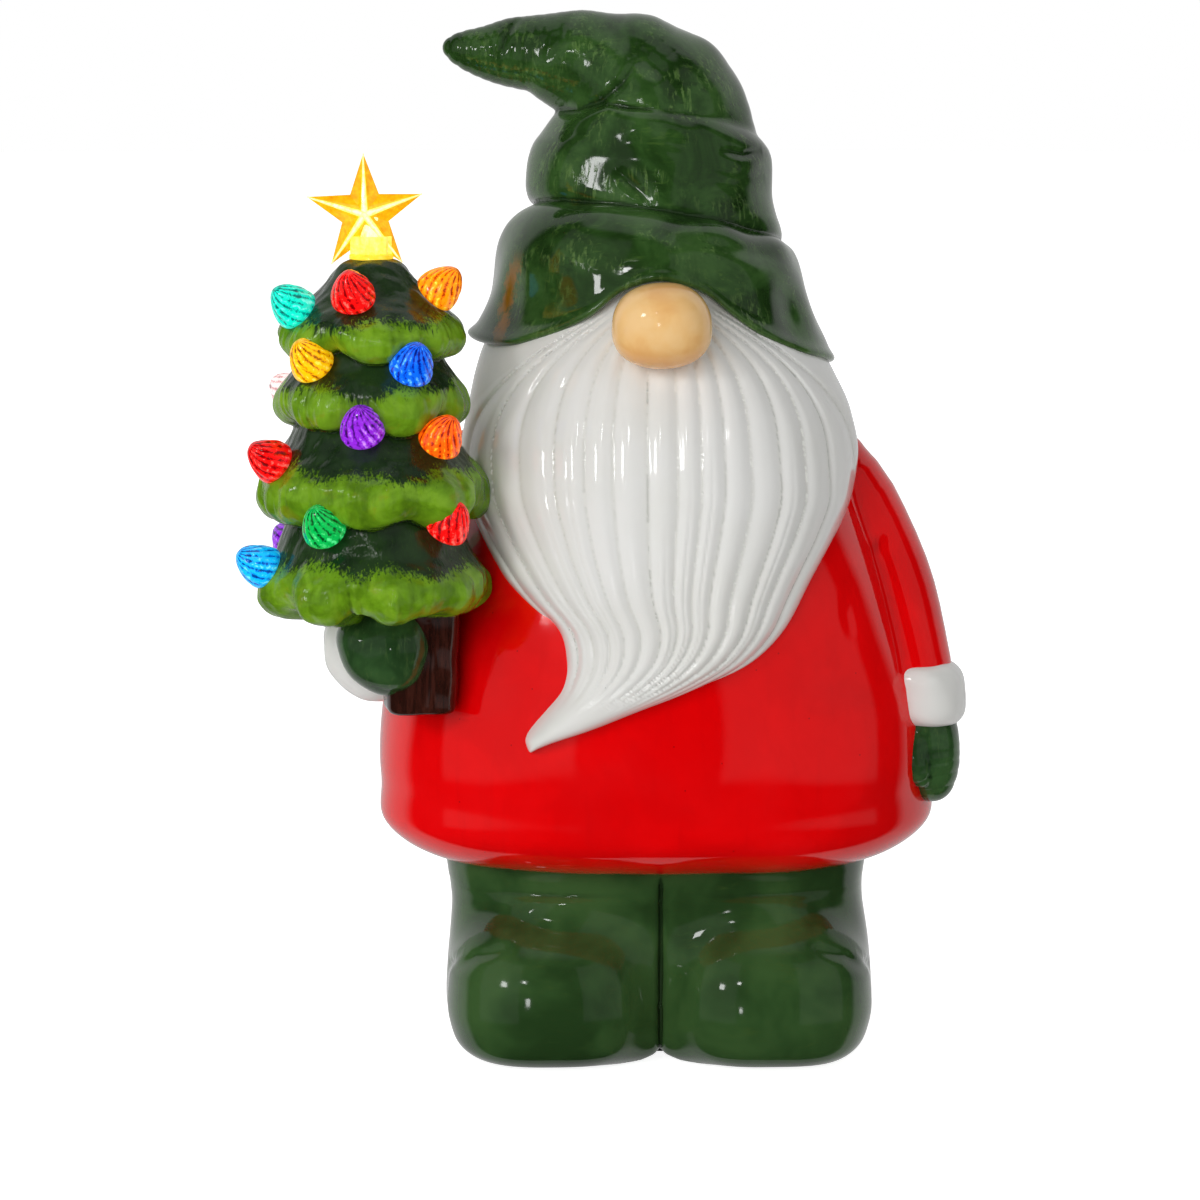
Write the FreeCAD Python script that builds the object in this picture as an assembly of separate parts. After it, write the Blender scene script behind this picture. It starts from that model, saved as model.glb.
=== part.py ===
"""Glazed ceramic gnome figurine holding a lit ceramic tree.

The ceramic figure is made of hollow sections, each moulded on its own and luted to its neighbours with slip before
firing. Plastic bulbs and a star plug into holes in the tree. A battery case with a hinged door, a captive screw and
a three-position slide switch closes the base, and two leads run up through the body to a strip of lamps in the tree.

Millimetres, +Z up, the figure faces -Y. The shapes below are written about the body's own axis and moved by
(AXIS_X, AXIS_Y) at the end, so that the origin is under the middle of the whole object at the resting face.
"""
import FreeCAD, Part
import math
import os

V = FreeCAD.Vector

# ---------------------------------------------------------------- driving dimensions
AXIS_X = 15.968         # body axis from the origin
AXIS_Y = 15.042
WALL = 5.0              # ceramic wall
PAD_H = 1.5             # foot pad thickness, the ceramic stands this far above the surface
LEG_TOP = 63.5          # joint between the trousers and the coat
COAT_TOP = 240.0        # coat's neck, inside the hat
TREE_X, TREE_Y = -91.3, -63.0
TREE_TOP = 264.5
STEM_R = 2.4            # bulb stem
BULB_R, BULB_H = 7.0, 12.0
CASE_Z0 = 2.0           # underside of the battery case flange
CELL_R, CELL_L, NUB_R, NUB_L = 7.1, 49.2, 2.7, 1.3
WIRE_R = 0.7

os.makedirs("parts", exist_ok=True)
OUT = {}


# ---------------------------------------------------------------- helpers
def ring(cx, cy, a, b, n, z, count=28):
    """Points of a superellipse, evenly spaced in angle."""
    pts = []
    for k in range(count):
        t = 2 * math.pi * k / count
        c, s = math.cos(t), math.sin(t)
        r = (abs(c / a) ** n + abs(s / b) ** n) ** (-1.0 / n)
        pts.append(V(cx + r * c, cy + r * s, z))
    return pts


def closed_wire(pts):
    curve = Part.BSplineCurve()
    curve.interpolate(pts, PeriodicFlag=True)
    return Part.Wire([curve.toShape()])


def loft(rings):
    s = Part.makeLoft([closed_wire(p) for p in rings], True, False)
    if s.Volume < 0:
        s.reverse()
    return s


def stack(rows, inset=0.0, count=28):
    """rows of (z, cx, half width, front y, back y, exponent) lofted upwards."""
    out = []
    for z, cx, a, yf, yb, n in rows:
        out.append(ring(cx, (yf + yb) / 2.0, a - inset, (yb - yf) / 2.0 - inset, n, z, count))
    return loft(out)


def oval_at(c, u, w, a, b, n=2.0, count=24):
    """A superellipse about c in the plane of unit vectors u and w."""
    pts = []
    for k in range(count):
        t = 2 * math.pi * k / count
        cc, ss = math.cos(t), math.sin(t)
        r = (abs(cc / a) ** n + abs(ss / b) ** n) ** (-1.0 / n)
        pts.append(c + u * (r * cc) + w * (r * ss))
    return pts


def rbox(x0, x1, y0, y1, z0, z1, r):
    b = Part.makeBox(x1 - x0, y1 - y0, z1 - z0, V(x0, y0, z0))
    edges = [e for e in b.Edges if abs(e.Vertexes[0].Z - e.Vertexes[1].Z) > 1e-6]
    return b.makeFillet(r, edges) if r > 0 else b


def box(x0, x1, y0, y1, z0, z1):
    return Part.makeBox(x1 - x0, y1 - y0, z1 - z0, V(x0, y0, z0))


def cyl(r, h, p, d=V(0, 0, 1)):
    return Part.makeCylinder(r, h, p, d)


def revolve(pts, centre):
    """Turns a closed profile of (r, z) lines about a vertical axis through centre."""
    w = Part.makePolygon([V(r, 0, z) for r, z in pts] + [V(pts[0][0], 0, pts[0][1])])
    s = Part.Face(w).revolve(V(0, 0, 0), V(0, 0, 1), 360)
    s.translate(V(centre[0], centre[1], 0))
    return s


def main_solid(s):
    """The largest solid of a boolean result."""
    best = max(s.Solids, key=lambda q: q.Volume)
    return best


def place(s, p, d):
    """Moves a shape built about +Z at the origin so that it stands at p along d."""
    q = s.copy()
    q.Placement = FreeCAD.Placement(p, FreeCAD.Rotation(V(0, 0, 1), d))
    return q


def put(name, shape):
    OUT[name] = shape


def tube_path(points, trim=0.45):
    """Straight runs joined by tangent arcs, each as large as its two runs allow."""
    edges, radii = [], []
    last = points[0]
    for i in range(1, len(points) - 1):
        a, b, c = points[i - 1], points[i], points[i + 1]
        u, w = (a - b), (c - b)
        la, lc = u.Length, w.Length
        u.normalize()
        w.normalize()
        turn = math.pi - u.getAngle(w)
        cut = trim * min(la, lc)
        radius = cut / math.tan(turn / 2)
        radii.append(radius)
        p, q = b + u * cut, b + w * cut
        bis = u + w
        bis.normalize()
        centre = b + bis * math.hypot(radius, cut)
        m = centre - bis * radius
        if (p - last).Length > 1e-6:
            edges.append(Part.LineSegment(last, p).toShape())
        edges.append(Part.Arc(p, m, q).toShape())
        last = q
    edges.append(Part.LineSegment(last, points[-1]).toShape())
    return Part.Wire(edges), radii


def tube(points, r, label):
    path, radii = tube_path(points)
    d = points[1] - points[0]
    prof = Part.Wire([Part.Circle(points[0], d, r).toShape()])
    s = path.makePipeShell([prof], True, False)
    print(label, "length", round(path.Length, 1), "radii", [round(x, 1) for x in radii],
          "volume ratio", round(s.Volume / (math.pi * r * r * path.Length), 4))
    return s


# ---------------------------------------------------------------- filled outer forms
COAT = [  # z, centre x, half width, front y, back y, exponent
    (63.5, -0.6, 70.5, -51, 50, 2.7), (65.5, -0.6, 76.0, -59, 56, 2.6), (69, -0.6, 83.5, -67, 62, 2.5),
    (75, -0.6, 89.5, -72.5, 67.5, 2.4), (84, -0.5, 92.0, -75.5, 70, 2.35), (98, -0.5, 92.6, -76.5, 70.5, 2.3),
    (115, -0.5, 91.0, -76, 70, 2.3), (132, 0, 86.5, -74, 68.5, 2.3), (150, 0, 80.0, -71, 66.5, 2.3),
    (170, 0, 72.0, -66.5, 64, 2.3), (190, 0, 64.0, -61, 61, 2.3), (208, 0, 58.5, -57, 59, 2.25),
    (220, -0.8, 58.4, -58, 59, 2.2), (232, -2.0, 57.3, -58.8, 58.0, 2.1), (COAT_TOP, -2.9, 54.5, -56.5, 56.5, 2.1)]
coat_out = stack(COAT)
hollow = []
for i, (z, cx, a, yf, yb, n) in enumerate(COAT):        # the wall thickens at the neck, where the hat is luted on
    extra = {len(COAT) - 3: 2.0, len(COAT) - 2: 3.5, len(COAT) - 1: 3.5}.get(i, 0.0)
    z += -1 if i == 0 else (1 if i == len(COAT) - 1 else 0)
    hollow.append((z, cx, a - extra, yf + extra, yb - extra, n))
coat_in = stack(hollow, WALL)

TROUSER = [(PAD_H, 0.6, 64, -44, 45, 3.0), (5, 0.6, 68, -48, 49, 3.0), (12, 0.6, 69.5, -50, 50, 3.0),
           (32, 0.6, 69.0, -49, 50, 3.0), (48, 0, 69.0, -49, 50, 3.0), (LEG_TOP, -0.6, 70.0, -50.5, 50, 3.0)]
legs_out = stack(TROUSER)
BOOT = [(PAD_H, 27.5, -57, 40), (4, 31.0, -61.5, 44), (9, 33.5, -65, 46), (18, 35.0, -67.5, 47), (28, 34.8, -66.5, 46),
        (36, 33.0, -62.5, 43), (42, 29.5, -57, 38), (46, 23.5, -50, 28), (48, 15, -42, 14)]


def boot(cx, inset, z0=None):
    rows = [(z, cx, a, yf, yb, 2.7) for z, a, yf, yb in BOOT]
    if z0 is not None:
        rows = [(max(z0, r[0]) if i == 0 else r[0],) + r[1:] for i, r in enumerate(rows)]
        rows = [r for i, r in enumerate(rows) if i == 0 or r[0] > z0 + 2][:-1]
    return stack(rows, inset)


legs_out = legs_out.fuse([boot(-35.4, 0), boot(36.4, 0)])
legs_in = stack([(7.0, 0.6, 69, -49, 50, 3.0), (20, 0.6, 69.5, -50, 50, 3.0), (48, 0, 69, -49, 50, 3.0),
                 (LEG_TOP + 1, -0.6, 70, -50.5, 50, 3.0)], WALL + 0.6)
legs_in = legs_in.fuse([boot(-35.4, WALL + 0.6, 7.0), boot(36.4, WALL + 0.6, 7.0)])

BEARD = [  # z, centre x, half width, front y, centre y, exponent
    (109.4, -40.6, 1.4, -75.5, -62, 2.0), (112, -37.5, 6.0, -78.5, -60, 2.2), (116, -30.5, 12.0, -81, -56, 2.4),
    (122, -20.5, 17.8, -83, -52, 2.6), (129, -8.5, 25.0, -84.5, -50, 2.7), (137, -0.5, 32.6, -85.5, -48, 2.8),
    (147, 3.5, 38.5, -86, -44, 2.8), (155, 0.8, 46.0, -86, -40, 2.7), (163, -0.2, 52.0, -86, -36, 2.6),
    (175, 0, 58.2, -85.5, -30, 2.4), (188, 0, 63.2, -84, -25, 2.3), (200, 0, 64.8, -81.5, -22, 2.25),
    (213, 0, 62.6, -78, -18, 2.2), (226, 0, 58.5, -72.5, -14, 2.15), (238, 0, 51, -65, -12, 2.1), (250, 0, 40, -55, -10, 2.1)]


def beard_form(inset, drop=0):
    rings = []
    for z, cx, a, yf, yc, n in BEARD[drop:]:
        rings.append(ring(cx, yc, a - inset, (yc - yf) - inset, n, z))
    return loft(rings)


beard_out = beard_form(0)
beard_in = beard_form(WALL + 1.5, 4)

# hat: ovals across a spine that rises, then bends over to the left
HAT = [  # left point (x, z), right point (x, z), half depth, centre y, exponent
    ((-63.5, 226.0), (60.5, 226.0), 62.5, -1, 2.1), ((-61.0, 236), (57.5, 234), 60.5, -0.5, 2.1),
    ((-57.8, 248), (50.8, 248), 56, 0, 2.1), ((-55.0, 261), (46.6, 259), 51.5, 0.5, 2.1),
    ((-50.0, 272), (40.5, 269), 46, 1, 2.1), ((-44.8, 281), (37.6, 279), 41.5, 1.5, 2.1),
    ((-43.9, 292), (35.6, 292), 38.5, 2, 2.1), ((-38.5, 303), (30.4, 305), 34, 2, 2.1),
    ((-35.2, 310.0), (25.5, 315), 30.5, 2, 2.1), ((-34.4, 313.5), (19.0, 325), 27.5, 1, 2.1),
    ((-35.2, 316.0), (8.5, 335), 24, 0, 2.1), ((-38.5, 317.0), (-12, 341.5), 20.5, -1, 2.1),
    ((-43.5, 318.0), (-35, 342.2), 16.5, -2, 2.1), ((-50.0, 319.5), (-50, 339.5), 12.5, -3, 2.1),
    ((-58.6, 321.8), (-59.5, 337.2), 9.0, -3.5, 2.1), ((-65.8, 325.5), (-66.2, 335.6), 5.8, -4, 2.1),
    ((-69.6, 329.0), (-69.8, 333.2), 2.4, -4, 2.0)]


def hat_form(inset, first=0, last=None):
    rings = []
    for (lx, lz), (rx, rz), b, yc, n in HAT[first:last]:
        p, q = V(lx, yc, lz), V(rx, yc, rz)
        c = (p + q) * 0.5
        u = q - p
        a = u.Length / 2
        u.normalize()
        rings.append(oval_at(c, u, V(0, 1, 0), a - inset, b - inset, n, 28))
    return loft(rings)


hat_out = main_solid(hat_form(0, 0, 12).fuse(hat_form(0, 11)))
hat_in = hat_form(WALL, 0, 12)
# the brim's edge: higher over the nose, a little lower on one side
BRIM = [(-75, 235.5), (-61.9, 235.4), (-51.5, 235.2), (-38.4, 238.4), (-22.4, 245.6), (-11.3, 254.4), (-0.3, 257.2),
        (12.4, 253.8), (22.0, 246.5), (31.8, 239.6), (45.1, 233.2), (56.7, 229.0), (75, 226.5)]
edge = Part.BSplineCurve()
edge.interpolate([V(x, 0, z) for x, z in BRIM])
under = Part.Wire([edge.toShape(), Part.makeLine(V(75, 0, 226.5), V(75, 0, 200)),
                   Part.makeLine(V(75, 0, 200), V(-75, 0, 200)), Part.makeLine(V(-75, 0, 200), V(-75, 0, 235.5))])
brim_cut = Part.Face(under).extrude(V(0, -110, 0))
back = Part.makePolygon([V(-75, 0, 235.5), V(75, 0, 226.5), V(75, 0, 200), V(-75, 0, 200), V(-75, 0, 235.5)])
brim_back = Part.Face(back).extrude(V(0, 110, 0))
hat_full = hat_out.cut(brim_cut).cut(brim_back)
hat = main_solid(hat_out.cut(hat_in).cut(brim_cut).cut(brim_back))
print("hat", hat.isValid(), round(hat.Volume))

# ---------------------------------------------------------------- body sections
coat = main_solid(coat_out.cut(coat_in).cut(hat))
print("coat", coat.isValid(), round(coat.Volume))
legs = legs_out.cut(legs_in)
for s in (-1, 1):
    groove = Part.makePolygon([V(-3.2, s * 54, 0), V(4.2, s * 54, 0), V(0.9, s * 47.2, 0), V(0.1, s * 47.2, 0), V(-3.2, s * 54, 0)])
    legs = legs.cut(Part.Face(groove).extrude(V(0, 0, 80)))
legs = legs.cut(rbox(-49.3, 49.3, -37.3, 37.3, -1, 5.0, 9)).cut(rbox(-43, 43, -32, 32, 4, 9, 5))
legs = main_solid(legs)
print("legs", legs.isValid(), round(legs.Volume))
beard = main_solid(beard_out.cut(beard_in).cut(coat_out).cut(hat))
print("beard", beard.isValid(), round(beard.Volume))


def ellipsoid(c, a, b, h):
    s = Part.makeSphere(1.0)
    m = FreeCAD.Matrix()
    m.scale(V(a, b, h))
    s = s.transformGeometry(m)
    s.translate(c)
    return s


nose_form = ellipsoid(V(0.3, -73.5, 244.8), 15.4, 14.5, 13.4)
nose = main_solid(nose_form.cut(beard_out).cut(hat_full))
print("nose", nose.isValid(), round(nose.Volume))


def limb(rows):
    """rows of (centre, direction, half width across, half depth) lofted in order."""
    rings = []
    for c, d, a, b in rows:
        c, d = V(*c), V(*d)
        d.normalize()
        u = d.cross(V(0, 1, 0)) if abs(d.y) < 0.9 else V(1, 0, 0)
        u.normalize()
        w = d.cross(u)
        w.normalize()
        rings.append(oval_at(c, u, w, a, b, 2.2))
    return loft(rings)


# left arm, hanging at the side
L_SLEEVE = [((52, 2, 205), (0.6, 0, -0.8), 6, 8), ((58, -0.5, 196), (0.6, -0.1, -0.8), 11.5, 16), ((67.5, -5, 180), (0.45, -0.2, -0.9), 12.8, 18),
            ((76.0, -11, 160), (0.35, -0.25, -0.94), 12.8, 17.5), ((82.5, -17, 140), (0.25, -0.25, -0.97), 12.4, 16.5), ((86.0, -21, 124), (0.2, -0.15, -0.98), 12.2, 15.5)]
l_sleeve_form = limb(L_SLEEVE)
l_cuff_form = limb([((85.8, -21.2, 125.5), (0.12, -0.1, -1), 11.5, 15), ((87.0, -21.8, 121), (0.12, -0.1, -1), 13.6, 17.2), ((88.4, -22.6, 114), (0.1, -0.1, -1), 13.6, 17.4),
                    ((89.0, -23.0, 108.5), (0.1, 0, -1), 12.2, 15.5), ((89.3, -23.2, 106), (0.1, 0, -1), 9.0, 12.5)])
l_mitten_form = limb([((89.8, -23.3, 106.5), (0, 0, -1), 9.6, 11.5), ((90.0, -23.6, 101), (0, 0, -1), 10.4, 12.6), ((90.3, -24, 94), (0, 0, -1), 10.2, 12.8),
                      ((91.0, -24.6, 87), (0, 0, -1), 7.6, 10.4), ((91.6, -25, 83.2), (0, 0, -1), 4.2, 6.5), ((91.8, -25.2, 81.6), (0, 0, -1), 1.2, 2.5)])
l_sleeve = main_solid(l_sleeve_form.cut(coat_out).cut(beard_out).cut(hat_full))
l_cuff = main_solid(l_cuff_form.cut(coat_out).cut(l_sleeve_form))
l_mitten = main_solid(l_mitten_form.cut(coat_out).cut(l_cuff_form))

# right arm, bent forward to hold the tree by its trunk
R_SLEEVE = [((-52, 10, 205), (-0.6, 0, -0.8), 6, 8), ((-60, 9, 194), (-0.6, 0, -0.8), 12, 15), ((-71, 7, 176), (-0.45, 0, -0.9), 14, 17),
            ((-81, 3, 158), (-0.35, -0.25, -0.8), 14.5, 17), ((-88, -7, 144), (-0.2, -0.75, -0.5), 15, 16), ((-90, -22, 139.5), (-0.05, -1, -0.1), 15.5, 15.0),
            ((-90.3, -34, 139), (0, -1, 0), 16, 14.5)]
r_sleeve_form = limb(R_SLEEVE)
r_cuff_form = limb([((-90.2, -31.5, 139), (0, -1, 0), 15.5, 15), ((-90.2, -35, 138.8), (0, -1, 0), 18.4, 17.6), ((-90.2, -42, 138.6), (0, -1, 0), 18.8, 18.2),
                    ((-90.2, -49, 138.6), (0, -1, 0), 17.6, 17), ((-90.2, -52, 138.6), (0, -1, 0), 14.5, 14)])
r_mitten_form = limb([((-89.8, -50, 140), (0, -1, 0), 11.5, 11.5), ((-89.2, -56, 140.4), (0, -1, 0), 13.4, 12.8), ((-88.6, -64, 141), (0, -1, 0), 13.8, 13.2),
                      ((-88.3, -71, 141.4), (0, -1, 0), 12.2, 11.8), ((-88.1, -76, 141.6), (0, -1, 0), 8.8, 8.8), ((-88, -78.6, 141.7), (0, -1, 0), 4, 4)])

# ---------------------------------------------------------------- tree
TREE = [(0, 150.0), (20, 149.6), (30, 150.4), (35, 153), (37.6, 157.5), (37.4, 162), (34.6, 167), (31.5, 172), (29.6, 177), (28.6, 180.5),
        (31.5, 181.4), (35, 184), (37.2, 188.5), (37.0, 193), (34.0, 198.5), (30.0, 203.5), (26.6, 208.5), (25.4, 211.4), (27.4, 212.0), (29.6, 214),
        (30.8, 218), (30.2, 222.5), (27.4, 227), (24.0, 230.5), (22.2, 233.0), (24.6, 233.6), (28.2, 235.4), (30.5, 239.5), (29.6, 243.6),
        (25.4, 247.8), (20.2, 251.6), (16.0, 255.6), (12.2, 260.2), (9.8, 263.2), (6.6, TREE_TOP), (0, TREE_TOP)]
tree_out = revolve(TREE, (TREE_X, TREE_Y))
tree_in = revolve([(0, 156), (25, 156), (7.5, 257), (0, 257)], (TREE_X, TREE_Y))
trunk_form = loft([oval_at(V(-77.2, -60, z), V(1, 0, 0), V(0, 1, 0), a, b, 3.2) for z, a, b in
                   ((119.6, 8.6, 9.0), (121.2, 10.1, 10.4), (130, 10.5, 10.8), (140, 10.6, 11), (149.8, 11.5, 12))])
r_sleeve = main_solid(r_sleeve_form.cut(coat_out).cut(beard_out).cut(hat_full).cut(tree_out))
r_cuff = main_solid(r_cuff_form.cut(r_sleeve_form).cut(coat_out).cut(tree_out).cut(trunk_form))
r_mitten = main_solid(r_mitten_form.cut(r_cuff_form).cut(r_sleeve_form).cut(coat_out).cut(tree_out))
trunk = main_solid(trunk_form.cut(r_mitten_form).cut(r_cuff_form).cut(coat_out).cut(tree_out).cut(r_sleeve_form))
tree = tree_out.cut(tree_in).cut(coat_out).cut(beard_out).cut(hat_full)
tree = main_solid(tree)
print("tree", tree.isValid(), round(tree.Volume))

# bulbs: azimuth about the tree (0 = +X, -90 = front), base radius, base z, tilt of the tip above level, colour
BULBS = [
    ("teal", -149, 25.0, 248.5, 40), ("red", -102, 20.3, 252.3, 54), ("amber", -20, 20.8, 253.3, 45), ("azure", 95, 20.5, 251.0, 44),
    ("clear", 146, 29.5, 218.7, 30), ("yellow", -131, 25.2, 231.3, 50), ("blue", -60.5, 25.9, 230.4, 50), ("green", 100, 25.2, 230.2, 48),
    ("red", -153, 31.9, 200.5, 34), ("purple", -93.4, 27.3, 211.3, 52), ("orange", -44, 29.3, 207.3, 52), ("yellow", 122, 28.6, 207.2, 48),
    ("amber", 78, 28.6, 207.2, 48),
    ("azure", -160.5, 34.1, 167.1, 30), ("purple", 141, 32.5, 169.0, 40), ("green", -115.4, 30.4, 180.4, 50), ("red", -40.4, 30.4, 180.2, 52),
    ("teal", 95, 30.6, 178.0, 48),
]
head = [(0, 0), (BULB_R, 0), (BULB_R, 1.2), (BULB_R - 0.25, 2.9), (BULB_R - 1.0, 5.5), (BULB_R - 2.2, 8.1), (BULB_R - 3.7, 10.3), (BULB_R - 5.3, 11.6), (0, BULB_H)]
bulb_form = revolve(head, (0, 0)).fuse(cyl(STEM_R, 9.5, V(0, 0, -9.0)))
bulb_form = bulb_form.removeSplitter()
names = {}
bulb_solids = []
for colour, az, r, z, tilt in BULBS:
    a, t = math.radians(az), math.radians(tilt)
    d = V(math.cos(a) * math.cos(t), math.sin(a) * math.cos(t), math.sin(t))
    p = V(TREE_X + r * math.cos(a), TREE_Y + r * math.sin(a), z)
    b = place(bulb_form, p, d)
    # a short way through to the tree's inside for the stem and the light
    tree = tree.cut(place(cyl(BULB_R + 0.2, BULB_H + 1.0, V(0, 0, -0.1)), p, d).fuse(place(cyl(STEM_R, 16, V(0, 0, -16)), p, d)))
    names[colour] = names.get(colour, 0) + 1
    bulb_solids.append(("bulb_%s_%d" % (colour, names[colour]), b))
tree = tree.cut(cyl(4.0, 20, V(TREE_X, TREE_Y, 250)))
# passage for the leads, through the coat's wall into the tree
pass_from, pass_to = V(-44, -33.5, 149.5), V(-76, -54, 161)
passage = cyl(4.5, (pass_to - pass_from).Length, pass_from, pass_to - pass_from)
tree = main_solid(tree.cut(passage))
coat = main_solid(coat.cut(passage))
beard = main_solid(beard.cut(passage))
r_sleeve = main_solid(r_sleeve.cut(passage))
print("tree", tree.isValid(), round(tree.Volume), "coat", coat.isValid())

# star topper: a faceted five-pointed star on a short tube that plugs into the tree's top
SC = V(-93.1, TREE_Y, 278.7)
front_c, back_c = SC + V(0, -5.2, 0), SC + V(0, 5.2, 0)
rim = []
for k in range(10):
    ang = math.radians(90 + 36 * k + 1.5)
    rr = 19.0 if k % 2 == 0 else 7.6
    rim.append(SC + V(rr * math.cos(ang), 0, rr * math.sin(ang)))
faces = []
for k in range(10):
    p, q = rim[k], rim[(k + 1) % 10]
    faces.append(Part.Face(Part.makePolygon([p, q, front_c, p])))
    faces.append(Part.Face(Part.makePolygon([q, p, back_c, q])))
star = Part.Solid(Part.Shell(faces))
if star.Volume < 0:
    star.reverse()
star = star.fuse([cyl(3.9, 21, V(TREE_X, TREE_Y, 258)), cyl(7.0, 1.6, V(TREE_X, TREE_Y, TREE_TOP))]).removeSplitter()
star = main_solid(star)
print("star", star.isValid(), round(star.Volume))

# ---------------------------------------------------------------- base: pads, battery case, door, switch
pads = []
for sx in (-1, 1):
    for sy in (-1, 1):
        pads.append(cyl(5.5, PAD_H, V(0.4 + sx * 55.0, sy * 28.0 - 2, 0)))
foot_pads = Part.Compound(pads)

BAY_X0, BAY_X1, BAY_Y = -37.9, 19.0, 23.2
HX, HZ = -40.2, 3.3       # door hinge axis
SCREW_X = 25.2
case = rbox(-48.8, 48.8, -36.8, 36.8, CASE_Z0, 4.2, 8.5).fuse(rbox(-42.4, 42.4, -31.4, 31.4, 4.2, 24.0, 4.5))
case = case.cut(box(BAY_X0, BAY_X1, -BAY_Y, BAY_Y, 0, 21.5))                       # cell bay, open downwards
case = case.cut(box(-40.2, 20.9, -25.0, 25.0, 0, 4.0))                              # door recess
case = case.cut(cyl(1.45, 50.0, V(HX, -25.0, HZ), V(0, 1, 0)))                      # hinge trough
case = case.cut(box(HX - 1.45, HX, -25.0, 25.0, 0, HZ))
case = case.cut(cyl(0.85, 54.4, V(HX, -27.2, HZ), V(0, 1, 0)))                      # trunnion holes
case = case.cut(box(20.8, 29.2, -5.0, 5.0, 0, 5.6))                                 # tongue recess
case = case.cut(box(20.6, 40.8, -29.8, 29.8, 9.2, 25))                              # board bay, open upwards
case = case.cut(box(31.0, 40.8, -29.8, 29.8, 4.2, 10))
case = case.cut(cyl(1.35, 8, V(SCREW_X, 0, 4.0)))                                   # screw hole
case = case.cut(box(34.1, 37.3, 9.7, 18.3, 0, 5))                                   # switch slot
case = case.cut(box(-40.8, 18, -29.8, -24.8, 6, 25)).cut(box(-40.8, 18, 24.8, 29.8, 6, 25))   # side pockets, open upwards
for x in (-20.0, 4.0):                                                             # saddles over the cells
    rib = box(x - 1.0, x + 1.0, -BAY_Y, BAY_Y, 15.0, 21.6)
    for y in (-15.2, 0.0, 15.2):
        rib = rib.cut(cyl(7.25, 4, V(x - 2, y, 12.6), V(1, 0, 0)))
    case = case.fuse(rib)
for y in (-20.0, 20.0):                                                            # pilot holes for the board's screws
    case = case.cut(cyl(1.0, 4.0, V(26.0, y, 5.9)))
case = main_solid(case.removeSplitter())
print("case", case.isValid(), round(case.Volume))

door = box(HX, 20.5, -24.6, 24.6, 2.1, 3.7).fuse([cyl(1.2, 49.2, V(HX, -24.6, HZ), V(0, 1, 0)),
                                                  cyl(0.75, 53.4, V(HX, -26.7, HZ), V(0, 1, 0)),
                                                  box(20.0, 28.8, -4.6, 4.6, 2.1, 3.7), box(21.3, 28.8, -4.6, 4.6, 3.6, 5.2),
                                                  box(-21.0, -19.0, -20, 20, 3.6, 5.2), box(3.0, 5.0, -20, 20, 3.6, 5.2)])
for y in (-15, 0, 15):
    door = door.cut(box(-30, 12, y - 1.0, y + 1.0, 1.9, 2.6))                       # grip grooves
door = door.cut(cyl(2.6, 1.8, V(SCREW_X, 0, 2.0))).cut(cyl(1.3, 5, V(SCREW_X, 0, 2.0)))
door = door.removeSplitter()
print("door", door.isValid(), len(door.Solids))
screw = cyl(2.4, 1.5, V(SCREW_X, 0, 2.2)).fuse(cyl(1.15, 4.6, V(SCREW_X, 0, 3.6)))
screw = screw.cut(box(SCREW_X - 1.7, SCREW_X + 1.7, -0.3, 0.3, 2.0, 3.0)).cut(box(SCREW_X - 0.3, SCREW_X + 0.3, -1.7, 1.7, 2.0, 3.0))
screw = screw.removeSplitter()

SWX, SWY = 35.7, 14.0
slider = box(SWX - 2.3, SWX + 2.3, SWY - 2.7, SWY + 2.7, 4.35, 5.8).fuse(box(SWX - 1.3, SWX + 1.3, SWY - 1.6, SWY + 1.6, 1.0, 4.4)).removeSplitter()
switch_can = box(SWX - 4.2, SWX + 4.2, SWY - 6.8, SWY + 6.8, 4.2, 9.2).cut(box(SWX - 2.6, SWX + 2.6, SWY - 5.6, SWY + 5.6, 4.0, 6.3))
board = box(21.4, 40.4, -26, 26, 9.2, 10.4)
bolts = []
for y in (-20.0, 20.0):
    board = board.cut(cyl(1.1, 3, V(26.0, y, 9.0)))
    bolts.append(cyl(2.0, 1.2, V(26.0, y, 10.4)).fuse(cyl(1.0, 4.2, V(26.0, y, 6.2))).cut(box(24.5, 27.5, y - 0.3, y + 0.3, 11.0, 12)))
board_screws = Part.Compound(bolts)
chip = [box(30.5, 36.0, -13, -6, 10.4, 11.9), box(34.0, 36.0, -20, -18.8, 10.4, 11.2), cyl(2.4, 6.0, V(36, 20.5, 10.4)),
        box(24, 25.2, 4, 6, 10.4, 11.1), box(30, 31.2, 8, 10, 10.4, 11.1)]
components = Part.Compound(chip)
seal = rbox(-48.8, 48.8, -36.8, 36.8, 4.2, 5.0, 8.5).cut(rbox(-43.0, 43.0, -32.0, 32.0, 4.0, 5.2, 5))

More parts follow.
